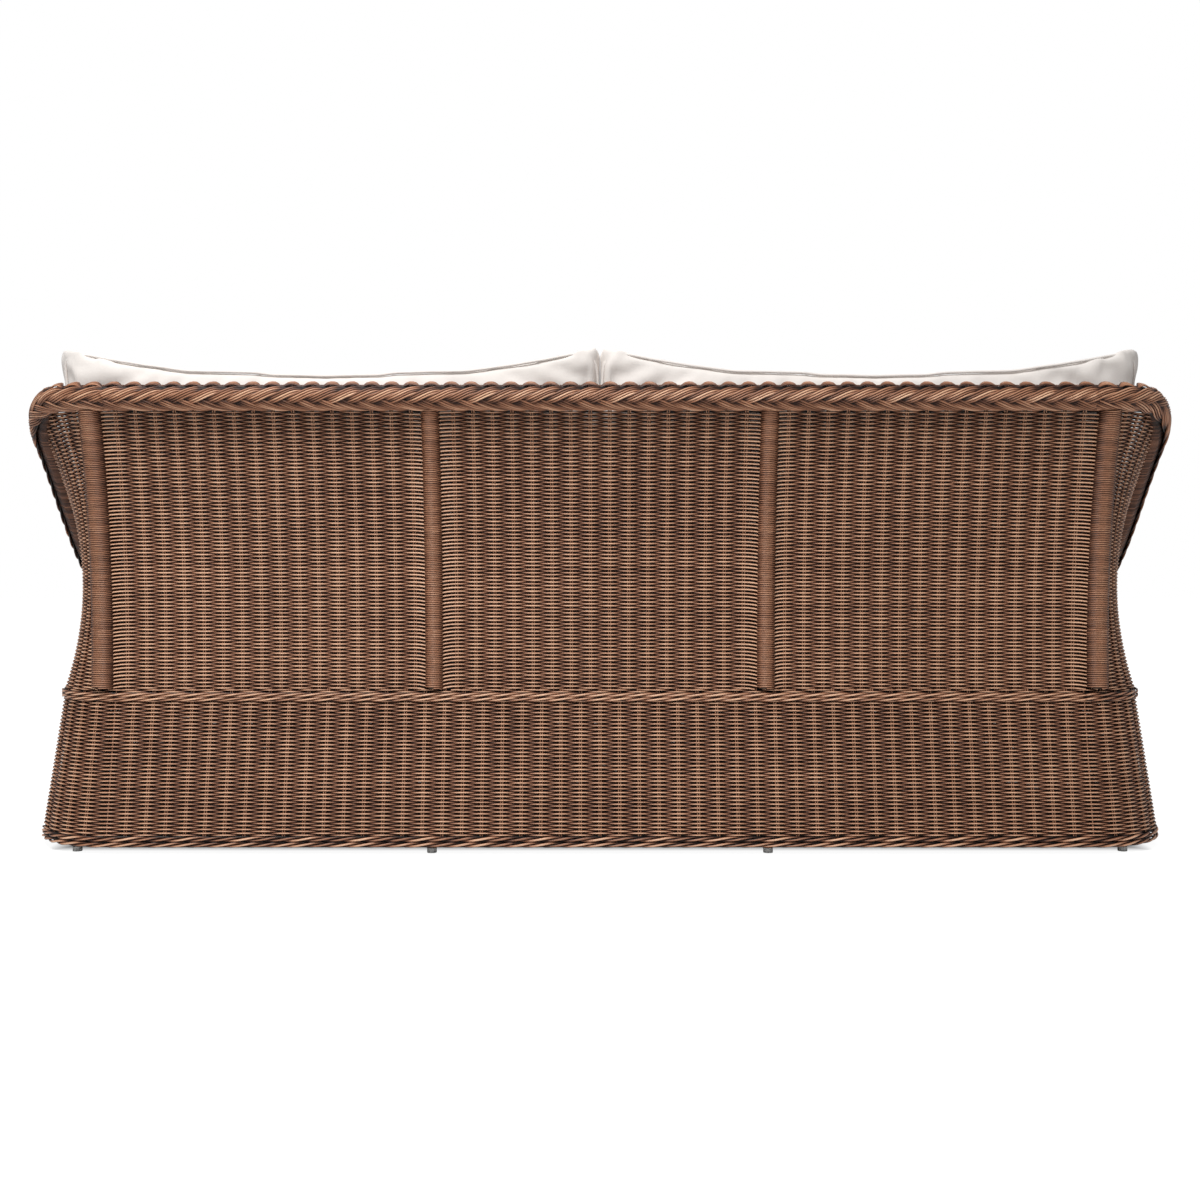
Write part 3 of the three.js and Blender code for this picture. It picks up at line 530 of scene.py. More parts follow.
def band_recipe():
    """Rows of bundles twisted in pairs, one above the other, along a path."""
    tree, size = new_recipe("twisted band", {
        "Rows": WHOLE, "Row gap": LENGTH, "Bundles": WHOLE, "Strands": WHOLE, "Repeat": LENGTH,
        "Rise": LENGTH, "Depth": LENGTH, "Strand width": LENGTH, "Spacing": LENGTH, "Seed": WHOLE,
        "Finish": FINISH,
    })
    strand_sides, edge_fall, top_painted_light, top_painted_light_gain = 6, 0.0003, 0.61, 0.32
    lines, number = copies(tree, guide_curve(tree, size), size["Rows"] * size["Bundles"] * size["Strands"])
    bundle = (number / size["Strands"]).whole()
    member = number - bundle * size["Strands"] - (size["Strands"] - 1) * 0.5
    row = (bundle / size["Bundles"]).whole()
    phase = (attribute(tree, "station") / size["Repeat"] + bundle / size["Bundles"]) * (-2 * math.pi)
    row_lift = (row - (size["Rows"] - 1) * 0.5) * size["Row gap"]
    lift = row_lift + size["Rise"] * phase.sine() + member * size["Spacing"]
    proud = size["Depth"] * phase.cosine() - member * member * edge_fall
    outward, upward = directions(tree)
    toned = strand_tone(tree, lines, number, size["Seed"])
    # Painted shade: each strand is painted lighter where the twist brings it to the front and darker where it
    # turns behind.
    shaded = with_painted_light(tree, toned, outward, phase.cosine() * top_painted_light_gain + top_painted_light)
    twisted = moved(tree, shaded, position(tree) + outward * proud + upward * lift)
    end_recipe(tree, [strand_tubes(tree, twisted, size["Strand width"], strand_sides)], size["Finish"])
    return tree


# The sofa's lines and sheets, as the CAD source has them


def mix(first, last, share):
    """The value at a share of the way from the first to the last."""
    return first + (last - first) * share


def smooth_share(value):
    """A share from 0 to 1 that starts and ends slowly."""
    share = np.clip(value, 0, 1)
    return share * share * (3 - 2 * share)


def rim_height(station):
    """The height of the roll's centre at a distance from the corner's start, where it falls into the arm."""
    return mix(BACK_RIM_Z, ARM_RIM_Z, smooth_share((station - SWOOP_START) / SWOOP_LENGTH))


def soft_bend(share):
    """A share from 0 to 1 that starts slowly and then runs nearly straight."""
    start = LEG_BEND_SHARE
    return (np.hypot(share, start) - start) / (math.hypot(1, start) - start)


def arm_leg_half_width(z):
    """How far the roll stands from the sofa's middle at a height of the arm's front and the leg."""
    up = np.clip((z - BAND_Z) / (ARM_RIM_Z - BAND_Z), 0, 1)
    down = np.clip((BAND_Z - z) / (BAND_Z - HEM_Z), 0, 1)
    above = mix(BAND_HALF_WIDTH, RIM_HALF_WIDTH, soft_bend(up))
    below = mix(BAND_HALF_WIDTH, HEM_FRONT_HALF_WIDTH, soft_bend(down))
    return np.where(z > BAND_Z, above, below)


def rim_point(station):
    """The roll's centre at a distance from the corner's start: corner, arm, bend and front leg."""
    if station <= RIM_CORNER_LENGTH:
        turn = station / RIM_CORNER_RADIUS
        x = CORNER_X + RIM_CORNER_RADIUS * math.sin(turn)
        return x, RIM_CORNER_Y + RIM_CORNER_RADIUS * math.cos(turn), float(rim_height(station))
    if station <= BEND_START:
        return RIM_HALF_WIDTH, RIM_CORNER_Y - (station - RIM_CORNER_LENGTH), float(rim_height(station))
    turn = min((station - BEND_START) / FRONT_BEND_RADIUS, math.pi / 2)
    down = max(station - BEND_START - BEND_LENGTH, 0)
    z = ARM_RIM_Z - FRONT_BEND_RADIUS * (1 - math.cos(turn)) - down
    return float(arm_leg_half_width(z)), LEG_Y + FRONT_BEND_RADIUS * (1 - math.sin(turn)), z


def upper_section(z, station):
    """Half width and back line of the upper walls at a height. The waist fades along the arm."""
    arm_rise = (z - BAND_Z) / (rim_height(station) - BAND_Z)
    tall = (rim_height(station) - BAND_Z) / (BACK_RIM_Z - BAND_Z)
    front = RIM_CORNER_LENGTH + RIM_CORNER_Y - LEG_Y
    fade = 1 - np.clip((station - RIM_CORNER_LENGTH) / (front - RIM_CORNER_LENGTH), 0, 1)
    hollow = 4 * arm_rise * (1 - arm_rise)
    half = mix(BAND_HALF_WIDTH, RIM_HALF_WIDTH, arm_rise) - SIDE_WAIST * tall * fade * hollow
    back = mix(BAND_BACK_Y, RIM_BACK_Y, arm_rise) - BACK_WAIST * tall * hollow
    return half, back


def skirt_section(z, front):
    """Half width and back line of the skirt at a height. Front is 0 at the corner and 1 at the leg."""
    drop = (BAND_Z - z) / (BAND_Z - HEM_Z)
    half = mix(BAND_HALF_WIDTH, mix(HEM_HALF_WIDTH, HEM_FRONT_HALF_WIDTH, front), drop)
    return half, mix(BAND_BACK_Y, HEM_BACK_Y, drop)


def corner_place(half, back, turn):
    """A place on the round back corner of a section, at a turn from the back line."""
    radius = half - CORNER_X
    return CORNER_X + radius * np.sin(turn), back - radius + radius * np.cos(turn)


def link(name, mesh):
    """Puts a mesh in the scene as an object."""
    piece = bpy.data.objects.new(name, mesh)
    bpy.context.scene.collection.objects.link(piece)
    return piece


def guide_sheet(name, points, across, up, mirror=False):
    """A smooth sheet facing outwards. Its weave map gives the share across and up of each point."""
    rows, columns = points.shape[:2]
    places = np.zeros((rows, columns, 3), np.float32)
    places[:, :, 0] = across
    places[:, :, 1] = up
    at = np.arange(rows * columns).reshape(rows, columns)
    corners = [at[:-1, :-1], at[1:, :-1], at[1:, 1:], at[:-1, 1:]]
    if mirror:
        points = points * (-1, 1, 1)
        corners.reverse()
    mesh = bpy.data.meshes.new(name)
    mesh.from_pydata(points.reshape(-1, 3).tolist(), [], np.stack(corners, -1).reshape(-1, 4).tolist())
    mesh.attributes.new("weave", "FLOAT_VECTOR", "POINT").data.foreach_set("vector", places.ravel())
    return link(name, mesh)


class Line:
    """Points of a path with the plan direction that faces out, the distance along it and the plait's lean."""

    def __init__(self, points, facing, station, lean):
        self.points, self.facing, self.station, self.lean = points, facing, station, lean

    def kept(self, chosen):
        return Line(self.points[chosen], self.facing[chosen], self.station[chosen], self.lean[chosen])

    def split(self, *joints):
        """Cuts the line at the points nearest to the joints. Neighbours share their end point."""
        ends = [0, *(int(np.abs(self.station - joint).argmin()) for joint in joints), len(self.station) - 1]
        return [self.kept(slice(first, last + 1)) for first, last in zip(ends, ends[1:])]


def even_line(points, facing, spacing, lean=None):
    """Sets points out evenly along a path."""
    points, facing = np.asarray(points, float), np.asarray(facing, float)
    lean = np.zeros(len(points)) if lean is None else np.asarray(lean, float)
    along = np.concatenate([[0], np.cumsum(np.linalg.norm(np.diff(points, axis=0), axis=1))])
    station = np.linspace(0, along[-1], int(round(along[-1] / spacing)) + 1)

    def read(values):
        return np.interp(station, along, values)

    spots = np.stack([read(points[:, i]) for i in range(3)], -1)
    faces = np.stack([read(facing[:, i]) for i in range(3)], -1)
    return Line(spots, faces, station, read(lean))


def both_sides(half):
    """Joins a line from the middle out to the left to its mirror image, to run from right to left."""
    flip = np.array((-1, 1, 1))
    return Line(
        np.concatenate([half.points[:0:-1] * flip, half.points]),
        np.concatenate([half.facing[:0:-1] * flip, half.facing]),
        np.concatenate([-half.station[:0:-1], half.station]),
        np.concatenate([half.lean[:0:-1], half.lean]),
    )


def guide_path(name, line):
    """A path that carries the directions out from the sofa and up, square to the path."""
    points = line.points
    tangent = np.gradient(points, axis=0)
    tangent /= np.linalg.norm(tangent, axis=1)[:, None]
    outward = line.facing - tangent * (line.facing * tangent).sum(1)[:, None]
    outward /= np.linalg.norm(outward, axis=1)[:, None]
    upward = np.cross(tangent, outward)
    mesh = bpy.data.meshes.new(name)
    mesh.from_pydata(points.tolist(), [(i, i + 1) for i in range(len(points) - 1)], [])
    for title, values in (("outward", outward), ("upward", upward)):
        mesh.attributes.new(title, "FLOAT_VECTOR", "POINT").data.foreach_set("vector", values.ravel())
    for title, values in (("station", line.station), ("lean", line.lean)):
        mesh.attributes.new(title, "FLOAT", "POINT").data.foreach_set("value", values)
    return link(name, mesh)


def made(name, guide, recipe, sizes):
    """Runs a recipe on a guide, and returns what it makes as a plain mesh object."""
    modifier = guide.modifiers.new("recipe", "NODES")
    modifier.node_group = recipe
    for item in recipe.interface.items_tree:
        if item.in_out == "INPUT" and item.name in sizes:
            modifier[item.identifier] = sizes[item.name]
    view = bpy.context.evaluated_depsgraph_get()
    mesh = bpy.data.meshes.new_from_object(guide.evaluated_get(view), depsgraph=view)
    guide.modifiers.remove(modifier)
    bpy.data.objects.remove(guide)
    piece = link(name, mesh)
    mesh.name = name
    return piece


def settled(piece, body, slot, *nodes):
    """Puts a finished piece in its body, in place of the CAD nodes it stands for."""
    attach(piece, body)
    if nodes:
        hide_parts(*nodes)
    return piece


# Woven sheets


def woven(name, guide, finish, intervals, rows, height, interval_width, **changes):
    """Weaves a wall on its guide sheet."""
    sizes = {
        "Intervals": intervals, "Rows": rows, "Sheet height": height, "Row pitch": ROW_PITCH,
        "Strand width": STRAND_WIDTH, "Relief": WEAVE_RELIEF, "Start reach": WEAVE_RELIEF,
        "End reach": WEAVE_RELIEF, "Sag": 0.0, "Stake width": STAKE_WIDTH, "Stake gap": STAKE_GAP,
        "Interval width": interval_width, "First stake": 0, "Stakes": intervals + 1, "Start hold": 0.0,
        "End hold": 0.0, "Seed": len(name), "Finish": finish,
    }
    piece = made(name + "_weave", guide, WEAVE, {**sizes, **changes})
    return settled(piece, "frame", "strand", name)


def between_posts(intervals, reach, sag):
    """The sizes of a weave whose rows end round a post or the roll instead of a stake."""
    return {
        "Start reach": reach, "End reach": reach, "Sag": sag, "First stake": 1, "Stakes": intervals - 1,
        "Start hold": 1.0, "End hold": 1.0,
    }


def back_bay(name, first, last, finish):
    """A bay of the back between two posts, given as the post's place and how far its strip reaches."""
    intervals, sheet_rows = 17, 40
    (start_x, start_edge), (end_x, end_edge) = first, last
    step_x = (end_x - end_edge - start_x - start_edge) / (intervals - 2)
    knots = [start_x, *(start_x + start_edge + step_x * i for i in range(intervals - 1)), end_x]
    across = np.linspace(0, 1, intervals * 2 + 1)
    x = np.interp(across * intervals, range(intervals + 1), knots)[None, :]
    low, top = PANEL_BOTTOM_Z, BACK_PANEL_TOP_Z
    z = np.linspace(low, top, sheet_rows)[:, None]
    half, back = upper_section(z, 0.0)
    radius = half - CORNER_X
    beyond = np.clip(np.abs(x) - CORNER_X, 0, None)
    y = back - radius + np.sqrt(radius**2 - beyond**2)
    points = np.stack(np.broadcast_arrays(x, y, z), -1)
    guide = guide_sheet(name, points, across[None, :], (z - low) / (top - low))
    rows = int((BACK_LAST_ROW_Z - low) / ROW_PITCH)
    ends = between_posts(intervals, 0.005, 0.010)
    return woven(name, guide, finish, intervals, rows, top - low, step_x, **ends)


def arm_panel(name, mirror, finish):
    """A side wall from the corner post round the corner and along the arm to the front leg."""
    corner_stakes, side_stakes, bend_stake_share = 5, 17, 0.309
    corner_columns, side_columns, sheet_rows, most_of_bend = 20, 50, 40, 0.999
    intervals = corner_stakes + side_stakes + 2
    low, end_y = PANEL_BOTTOM_Z, ARM_PANEL_END_Y
    first = math.asin((CORNER_POST_X - CORNER_X) / RIM_CORNER_RADIUS) * RIM_CORNER_RADIUS
    last = RIM_CORNER_LENGTH + RIM_CORNER_Y - end_y
    station = np.unique(np.concatenate([
        np.linspace(first, RIM_CORNER_LENGTH, corner_columns),
        np.linspace(RIM_CORNER_LENGTH, last, side_columns),
    ]))
    y_line = RIM_CORNER_Y - (station - RIM_CORNER_LENGTH)
    into_bend = np.clip(LEG_Y + FRONT_BEND_RADIUS - y_line, 0, FRONT_BEND_RADIUS * most_of_bend)
    drop = FRONT_BEND_RADIUS - np.sqrt(FRONT_BEND_RADIUS**2 - into_bend**2)
    top = rim_height(station) - drop - ROLL_TO_PANEL
    z = low + (top[None, :] - low) * np.linspace(0, 1, sheet_rows)[:, None]
    half, back = upper_section(z, station[None, :])
    corner = np.clip((station - first) / (RIM_CORNER_LENGTH - first), 0, 1)[None, :]
    start_turn = np.arcsin((CORNER_POST_X - CORNER_X) / (half - CORNER_X))
    x, y = corner_place(half, back, start_turn + (math.pi / 2 - start_turn) * corner)
    side = np.clip((station - RIM_CORNER_LENGTH) / (last - RIM_CORNER_LENGTH), 0, 1)[None, :]
    points = np.stack([x, mix(y, end_y, side), z], -1)

    post_edge = 0.0466
    in_corner = (np.arange(corner_stakes) + 0.5) / corner_stakes
    along_side = (np.arange(side_stakes) + 0.5) / side_stakes
    stakes = [first, *(post_edge + (RIM_CORNER_LENGTH - post_edge) * in_corner),
              *(RIM_CORNER_LENGTH + (BEND_START - RIM_CORNER_LENGTH) * along_side),
              BEND_START + FRONT_BEND_RADIUS * bend_stake_share, last]
    across = (np.interp(station, stakes, range(len(stakes))) / intervals)[None, :]
    tall = ARM_PANEL_TOP_Z - low
    guide = guide_sheet(name, points, across, (z - low) / tall, mirror)
    return woven(name, guide, finish, intervals, int(tall / ROW_PITCH), tall, (last - first) / intervals,
                 **between_posts(intervals, 0.006, 0.006))


def front_face_y(z):
    """How far forward the front skirt stands at a height."""
    return LEG_Y - HEM_FRONT_FLARE * np.clip((BAND_Z - z) / (BAND_Z - HEM_Z), 0, 1)


def back_skirt():
    """Intervals, width and points of the skirt's guide sheet across the back."""
    intervals = 50
    z = np.linspace(SKIRT_BOTTOM_Z, BAND_Z, SKIRT_SHEET_ROWS)[:, None]
    across = np.linspace(0, 1, intervals * 2 + 1)[None, :]
    _, back = skirt_section(z, 0.0)
    return intervals, CORNER_X * 2, across, (mix(-CORNER_X, CORNER_X, across), back, z)


def front_skirt():
    """The same along the front, where either end reaches round the leg."""
    intervals, leg_gap, leg_reach = 57, 0.0273, 0.0115
    z = np.linspace(SKIRT_BOTTOM_Z, BAND_Z, SKIRT_SHEET_ROWS)[:, None]
    across = np.linspace(0, 1, intervals * 2 + 1)[None, :]
    count = across * intervals
    edge = arm_leg_half_width(z) - leg_gap
    x = mix(edge, -edge, (count - 1) / (intervals - 2))
    x = np.where(count < 1, edge + leg_reach * (1 - count), x)
    x = np.where(count > intervals - 1, -edge - leg_reach * (count - intervals + 1), x)
    return intervals, HEM_FRONT_HALF_WIDTH + BAND_HALF_WIDTH, across, (x, front_face_y(z), z)


def side_skirt():
    """The same round a corner, along a side, and on round the leg."""
    corner_count, side_count, leg_reach, mean_width = 6, 16, 0.0143, 0.84
    intervals = corner_count + side_count + 1
    z = np.linspace(SKIRT_BOTTOM_Z, BAND_Z, SKIRT_SHEET_ROWS)[:, None]
    across = np.linspace(0, 1, intervals * 4 + 1)[None, :]
    count = across * intervals
    side = np.clip((count - corner_count) / side_count, 0, 1)
    half, back = skirt_section(z, side)
    x, y = corner_place(half, back, np.clip(count / corner_count, 0, 1) * math.pi / 2)
    y = mix(y, FRONT_CORNER_Y, side) - np.clip(count - (intervals - 1), 0, 1) * leg_reach
    return intervals, mean_width, across, (x, y, z)


def skirt(name, wall, finish, **changes):
    """A wall of the skirt below the seat band."""
    intervals, wide, across, (x, y, z) = wall
    tall = BAND_Z - SKIRT_BOTTOM_Z
    points = np.stack(np.broadcast_arrays(x, y, z), -1)
    guide = guide_sheet(name, points, across, (z - SKIRT_BOTTOM_Z) / tall, name == "skirt_right")
    if changes:
        changes = {"First stake": 1, "Stakes": intervals - 1, **changes}
    return woven(name, guide, finish, intervals, int(tall / ROW_PITCH), tall, wide / intervals, **changes)


# Roll, bands and posts


def roll_line():
    """The roll's centre from the right foot over the back to the left. The plait turns up on the arms."""
    back_lean, arm_lean, lean_start, lean_length = -27.0, 36.0, 0.060, 0.240
    back_points, arm_points = 40, 700
    spots = np.linspace(0, CORNER_X, back_points)[:-1]
    back = [((x, RIM_BACK_Y, BACK_RIM_Z), (0, 1, 0), 0.0) for x in spots]
    foot = BEND_START + BEND_LENGTH + ARM_RIM_Z - FRONT_BEND_RADIUS - LEG_END_Z
    arm = []
    for station in np.linspace(0, foot, arm_points):
        turn = min(station / RIM_CORNER_RADIUS, math.pi / 2)
        arm.append((rim_point(station), (math.sin(turn), math.cos(turn), 0), station))
    points, facing, station = zip(*back, *arm)
    turned = smooth_share((np.array(station) - lean_start) / lean_length)
    return both_sides(even_line(points, facing, PATH_SPACING, np.radians(mix(back_lean, arm_lean, turned))))


def braided_roll(name, line, finish):
    """One length of the edge roll: the plait over its wrapped core, with the loops along its edge."""
    sizes = {
        "Bundles": 7, "Strands": 4, "Repeat": 0.2534, "Swing": math.radians(52), "Radius": 0.0236,
        "Depth": 0.0024, "Strand width": 0.0037, "Spacing": 0.0040, "Core radius": 0.0192,
        "Wrap pitch": ROW_PITCH, "Loop height": 0.0065, "Seed": len(name), "Finish": finish,
    }
    return settled(made(name + "_plait", guide_path(name, line), PLAIT, sizes), "frame", "braid", name)


def ring_line(z, offset):
    """A line at one height round the back and sides of the skirt, standing proud of its middle."""
    back_points, corner_points, side_points = 30, 30, 40
    points, facing = [], []
    half, back = skirt_section(z, 0.0)
    for x in np.linspace(0, CORNER_X, back_points)[:-1]:
        points.append((x, back + offset, z))
        facing.append((0, 1, 0))
    for turn in np.linspace(0, math.pi / 2, corner_points):
        x, y = corner_place(half + offset, back + offset, turn)
        points.append((x, y, z))
        facing.append((math.sin(turn), math.cos(turn), 0))
    start_y = points[-1][1]
    for share in np.linspace(0, 1, side_points)[1:]:
        half, _ = skirt_section(z, share)
        points.append((half + offset, mix(start_y, FRONT_CORNER_Y, share), z))
        facing.append((1, 0, 0))
    return both_sides(even_line(points, facing, PATH_SPACING))


def front_line(z, offset):
    """A line at one height along the front, from leg to leg, standing proud of the skirt's middle."""
    leg_gap = 0.0275
    edge = float(arm_leg_half_width(z)) - leg_gap
    y = float(front_face_y(z)) - offset
    return even_line([(edge, y, z), (-edge, y, z)], [(0, -1, 0), (0, -1, 0)], PATH_SPACING)


def band(name, line, finish, **changes):
    """A twisted band along a line, in the seat band's sizes unless others are given."""
    sizes = {
        "Rows": 2, "Row gap": 0.0080, "Bundles": 3, "Strands": 1, "Repeat": 0.1095, "Rise": 0.0026,
        "Depth": 0.0030, "Strand width": 0.0042, "Spacing": 0.0036, "Seed": len(name), "Finish": finish,
    }
    piece = made(name + "_twist", guide_path(name, line), TWISTED_BAND, {**sizes, **changes})
    return settled(piece, "frame", "braid", name)


def wrapped_post(name, x, radius, finish):
    """The strand wound round a back post, from the seat band up into the roll."""
    band_gap, roll_lap, strand_inset, path_points, path_spacing = 0.001, 0.020, 0.0018, 60, 0.008
    beyond = max(abs(x) - CORNER_X, 0)
    points = []
    for z in np.linspace(BAND_Z + band_gap, BACK_RIM_Z - roll_lap, path_points):
        half, back = upper_section(z, 0.0)
        corner = half - CORNER_X
        points.append((x, float(back) - corner + math.sqrt(corner**2 - beyond**2), z))
    tilt = math.asin(beyond / RIM_CORNER_RADIUS)
    facing = [(math.copysign(math.sin(tilt), x), math.cos(tilt), 0)] * len(points)
    guide = guide_path(name, even_line(points, facing, path_spacing))
    piece = made(name + "_winding", guide, CLOSE_WRAP, {
        "Radius": radius - strand_inset, "Pitch": 0.0035, "Strand width": 0.0037, "Seed": 5,
        "Finish": finish,
    })
    return settled(piece, "frame", "strand", name)


# Finishes


def new_effect(name, inputs, outputs):
    """Starts a shader node group with named inputs and outputs, for an effect that several finishes share."""
    tree = bpy.data.node_groups.new(name, "ShaderNodeTree")
    for title, default in inputs.items():
        socket = tree.interface.new_socket(title, in_out="INPUT", socket_type="NodeSocketFloat")
        socket.default_value = default
    for title in outputs:
        tree.interface.new_socket(title, in_out="OUTPUT", socket_type="NodeSocketFloat")
    entry = tree.nodes.new("NodeGroupInput")
    values = {title: Term(tree, entry.outputs[title]) for title in inputs}
    return tree, values, tree.nodes.new("NodeGroupOutput")


def noise(tree, place, scale, detail=2.0):
    """Soft patches from 0 to 1."""
    node = step(tree, "ShaderNodeTexNoise", {"Vector": place, "Scale": scale, "Detail": detail})
    return Term(tree, node.outputs[0])


def strand_effect():
    """Tone from strand to strand, paler and darker lengths along each, painted light and shade from each
    point's painted light share, and the fine grooves along it.
    """
    patch_scale, streak_length, streak_shift, groove_scale = 7.0, 35, 90, 900.0
    streak_share, middling_painted_lightness = 0.35, 0.62
    tree, size, out = new_effect(
        "strand surface", {"Spread": 0.5, "Patches": 0.3, "Depth": 0.6}, ["Tone", "Height"])
    own, run, painted_lightness = [
        Term(tree, step(tree, "ShaderNodeAttribute", attribute_name=name).outputs["Fac"])
        for name in ("tone", "run", "open")
    ]
    spot = Arrow(tree, step(tree, "ShaderNodeTexCoord").outputs["Object"])
    patches = noise(tree, spot, patch_scale)
    streaks = noise(tree, arrow(tree, run * streak_length, own * streak_shift), 1.0, 3.0)
    grooves = noise(tree, spot, groove_scale, 1.0)
    tone = 0.5 + (own - 0.5) * size["Spread"] + (patches - 0.5) * size["Patches"]
    # Painted light and shade: the painted light share, less its middling value and scaled by Depth, paints
    # strands lighter on their crests and darker on their sides and where they lie behind others.
    tone = tone + (streaks - 0.5) * streak_share + (painted_lightness - middling_painted_lightness) * size["Depth"]
    give(tree, out.inputs["Tone"], tone.within(0.0, 1.0))
    give(tree, out.inputs["Height"], streaks * 0.6 + grooves * 0.4)
    return tree


def cloth_effect():
    """A plain weave of threads at a pitch, laid from whichever side a face looks to."""
    sharpness, slub_scale, mottle_scale, least_share = 4.0, 260.0, 6.0, 0.001
    tree, size, out = new_effect("cloth threads", {"Pitch": 0.0012, "Slub": 0.3}, ["Height", "Mottle"])
    place = step(tree, "ShaderNodeTexCoord")
    spot, normal = Arrow(tree, place.outputs["Object"]), Arrow(tree, place.outputs["Normal"])
    at = [(part * math.pi) / size["Pitch"] for part in spot.parts()]
    shares = [part.worked("ABSOLUTE").worked("POWER", sharpness) for part in normal.parts()]
    x_threads = (at[1].sine() * at[2].sine()) * shares[0]
    y_threads = (at[0].sine() * at[2].sine()) * shares[1]
    z_threads = (at[0].sine() * at[1].sine()) * shares[2]
    weave = (x_threads + y_threads + z_threads) / (shares[0] + shares[1] + shares[2] + least_share)
    slubs = noise(tree, spot, slub_scale)
    give(tree, out.inputs["Height"], weave * 0.5 + (slubs - 0.5) * size["Slub"])
    give(tree, out.inputs["Mottle"], noise(tree, spot, mottle_scale, 3.0) * 0.6 + slubs * 0.4)
    return tree


def speckle_effect():
    """The fine grain of a powder coat or a moulded face, with soft worn patches."""
    tree, size, out = new_effect("fine grain", {"Grain": 700.0, "Patch": 9.0}, ["Height", "Wear"])
    spot = Arrow(tree, step(tree, "ShaderNodeTexCoord").outputs["Object"])
    give(tree, out.inputs["Height"], noise(tree, spot, size["Grain"]))
    give(tree, out.inputs["Wear"], noise(tree, spot, size["Patch"], 4.0))
    return tree


def new_finish(name, effect, values, colours, roughness, bump, mask, **plain):
    """A material: its effect's mask runs through the colours and the roughness, its height makes the bump."""
    finish = bpy.data.materials.new(name)
    finish.use_nodes = True
    tree = finish.node_tree
    surface = tree.nodes["Principled BSDF"]
    group = step(tree, "ShaderNodeGroup", node_tree=effect)
    for title, value in values.items():
        group.inputs[title].default_value = value
    shade = Term(tree, group.outputs[mask])
    ramp = step(tree, "ShaderNodeValToRGB", {"Fac": shade})
    for i, (place, colour) in enumerate(colours):
        stop = ramp.color_ramp.elements[i] if i < 2 else ramp.color_ramp.elements.new(place)
        stop.position, stop.color = place, tint(*colour)
    give(tree, surface.inputs["Base Color"], ramp.outputs["Color"])
    give(tree, surface.inputs["Roughness"], mix(roughness[0], roughness[1], shade))
    strength, distance = bump
    relief = {"Height": group.outputs["Height"], "Strength": strength, "Distance": distance}
    give(tree, surface.inputs["Normal"], step(tree, "ShaderNodeBump", relief).outputs["Normal"])
    for title, value in plain.items():
        surface.inputs[title.replace("_", " ")].default_value = value
    return finish


def set_finish(node_name, finish):
    """Gives a CAD node that stays as it is its finish."""
    for place in frame["nodes"][node_name].material_slots:
        place.material = finish


# Cushions


def solid_tree(mesh):
    """A mesh in the form that answers where its nearest point is."""
    return BVHTree.FromPolygons([v.co for v in mesh.vertices], [tuple(f.vertices) for f in mesh.polygons])


def copied_solid(name):
    """The cushion's CAD solid, merged and drawn in by the margins all round, and the solid as it was."""
    mesh = frame["nodes"][name].data.copy()
    shape = bmesh.new()
    shape.from_mesh(mesh)
    bmesh.ops.remove_doubles(shape, verts=shape.verts, dist=1e-5)
    bmesh.ops.recalc_face_normals(shape, faces=shape.faces)
    shape.to_mesh(mesh)
    shape.free()
    spots = points_of(mesh)
    low, high = spots.min(0), spots.max(0)
    middle, half = (low + high) / 2, (high - low) / 2
    solid = solid_tree(mesh)
    put_points(mesh, middle + (spots - middle) * (half - CUSHION_MARGINS) / half)
    return mesh, solid


def vectors_of(mesh, kind):
    """One kind of vector at each point of a mesh, such as its place."""
    values = np.empty(len(mesh.vertices) * 3, np.float32)
    mesh.vertices.foreach_get(kind, values)
    return values.reshape(-1, 3).astype(float)


def points_of(mesh):
    """The place of each point of a mesh."""
    return vectors_of(mesh, "co")


def normals_of(mesh):
    """The way that a mesh faces at each point."""
    return vectors_of(mesh, "normal")


def put_points(mesh, spots):
    """Moves the points of a mesh to their places."""
    mesh.vertices.foreach_set("co", spots.astype(np.float32).ravel())
    mesh.update()


def with_modifier(piece, kind, **options):
    """Applies one modifier and keeps the result as the piece's mesh."""
    modifier = piece.modifiers.new(kind, kind)
    for option, choice in options.items():
        setattr(modifier, option, choice)
    view = bpy.context.evaluated_depsgraph_get()
    mesh = bpy.data.meshes.new_from_object(piece.evaluated_get(view), depsgraph=view)
    piece.modifiers.remove(modifier)
    piece.data = mesh


def edge_ring(surface, middle, axis, side):
    """The line round a cushion where its wall meets the panel on one side, found from outside."""
    rays, far, wall_depth, slope = 480, 2, 0.018, 0.15
    past_edge, smooth_reach, smooth_width = 0.030, 9, 3.0
    first = Vector((1, 0, 0))
    second = axis.cross(first).normalized()
    spots = []
    for turn in np.linspace(0, 2 * math.pi, rays, endpoint=False):
        ray = first * math.cos(turn) + second * math.sin(turn)
        wall, normal, _, _ = surface.ray_cast(middle + ray * far, -ray)
        flat = (normal - axis * normal.dot(axis)).normalized()
        panel = surface.ray_cast(wall - flat * past_edge + axis * side, -axis * side)[0]
        depth = axis * ((panel - middle).dot(axis) - side * wall_depth)
        aim = surface.ray_cast(middle + depth + ray * far, -ray)[0] - flat * wall_depth
        slant = (flat + axis * (side * slope)).normalized()
        spots.append(surface.find_nearest(aim + slant * past_edge)[0])
    ring = np.array(spots)
    weights = np.exp(-0.5 * (np.arange(-smooth_reach, smooth_reach + 1) / smooth_width) ** 2)
    weights /= weights.sum()
    ring = sum(np.roll(ring, i - smooth_reach, axis=0) * weight for i, weight in enumerate(weights))
    closed = np.vstack([ring, ring[:1]])
    along = np.concatenate([[0], np.cumsum(np.linalg.norm(np.diff(closed, axis=0), axis=1))])
    even = np.linspace(0, along[-1], int(along[-1] / SEAM_SPACING), endpoint=False)
    return np.stack([np.interp(even, along, closed[:, i]) for i in range(3)], -1)


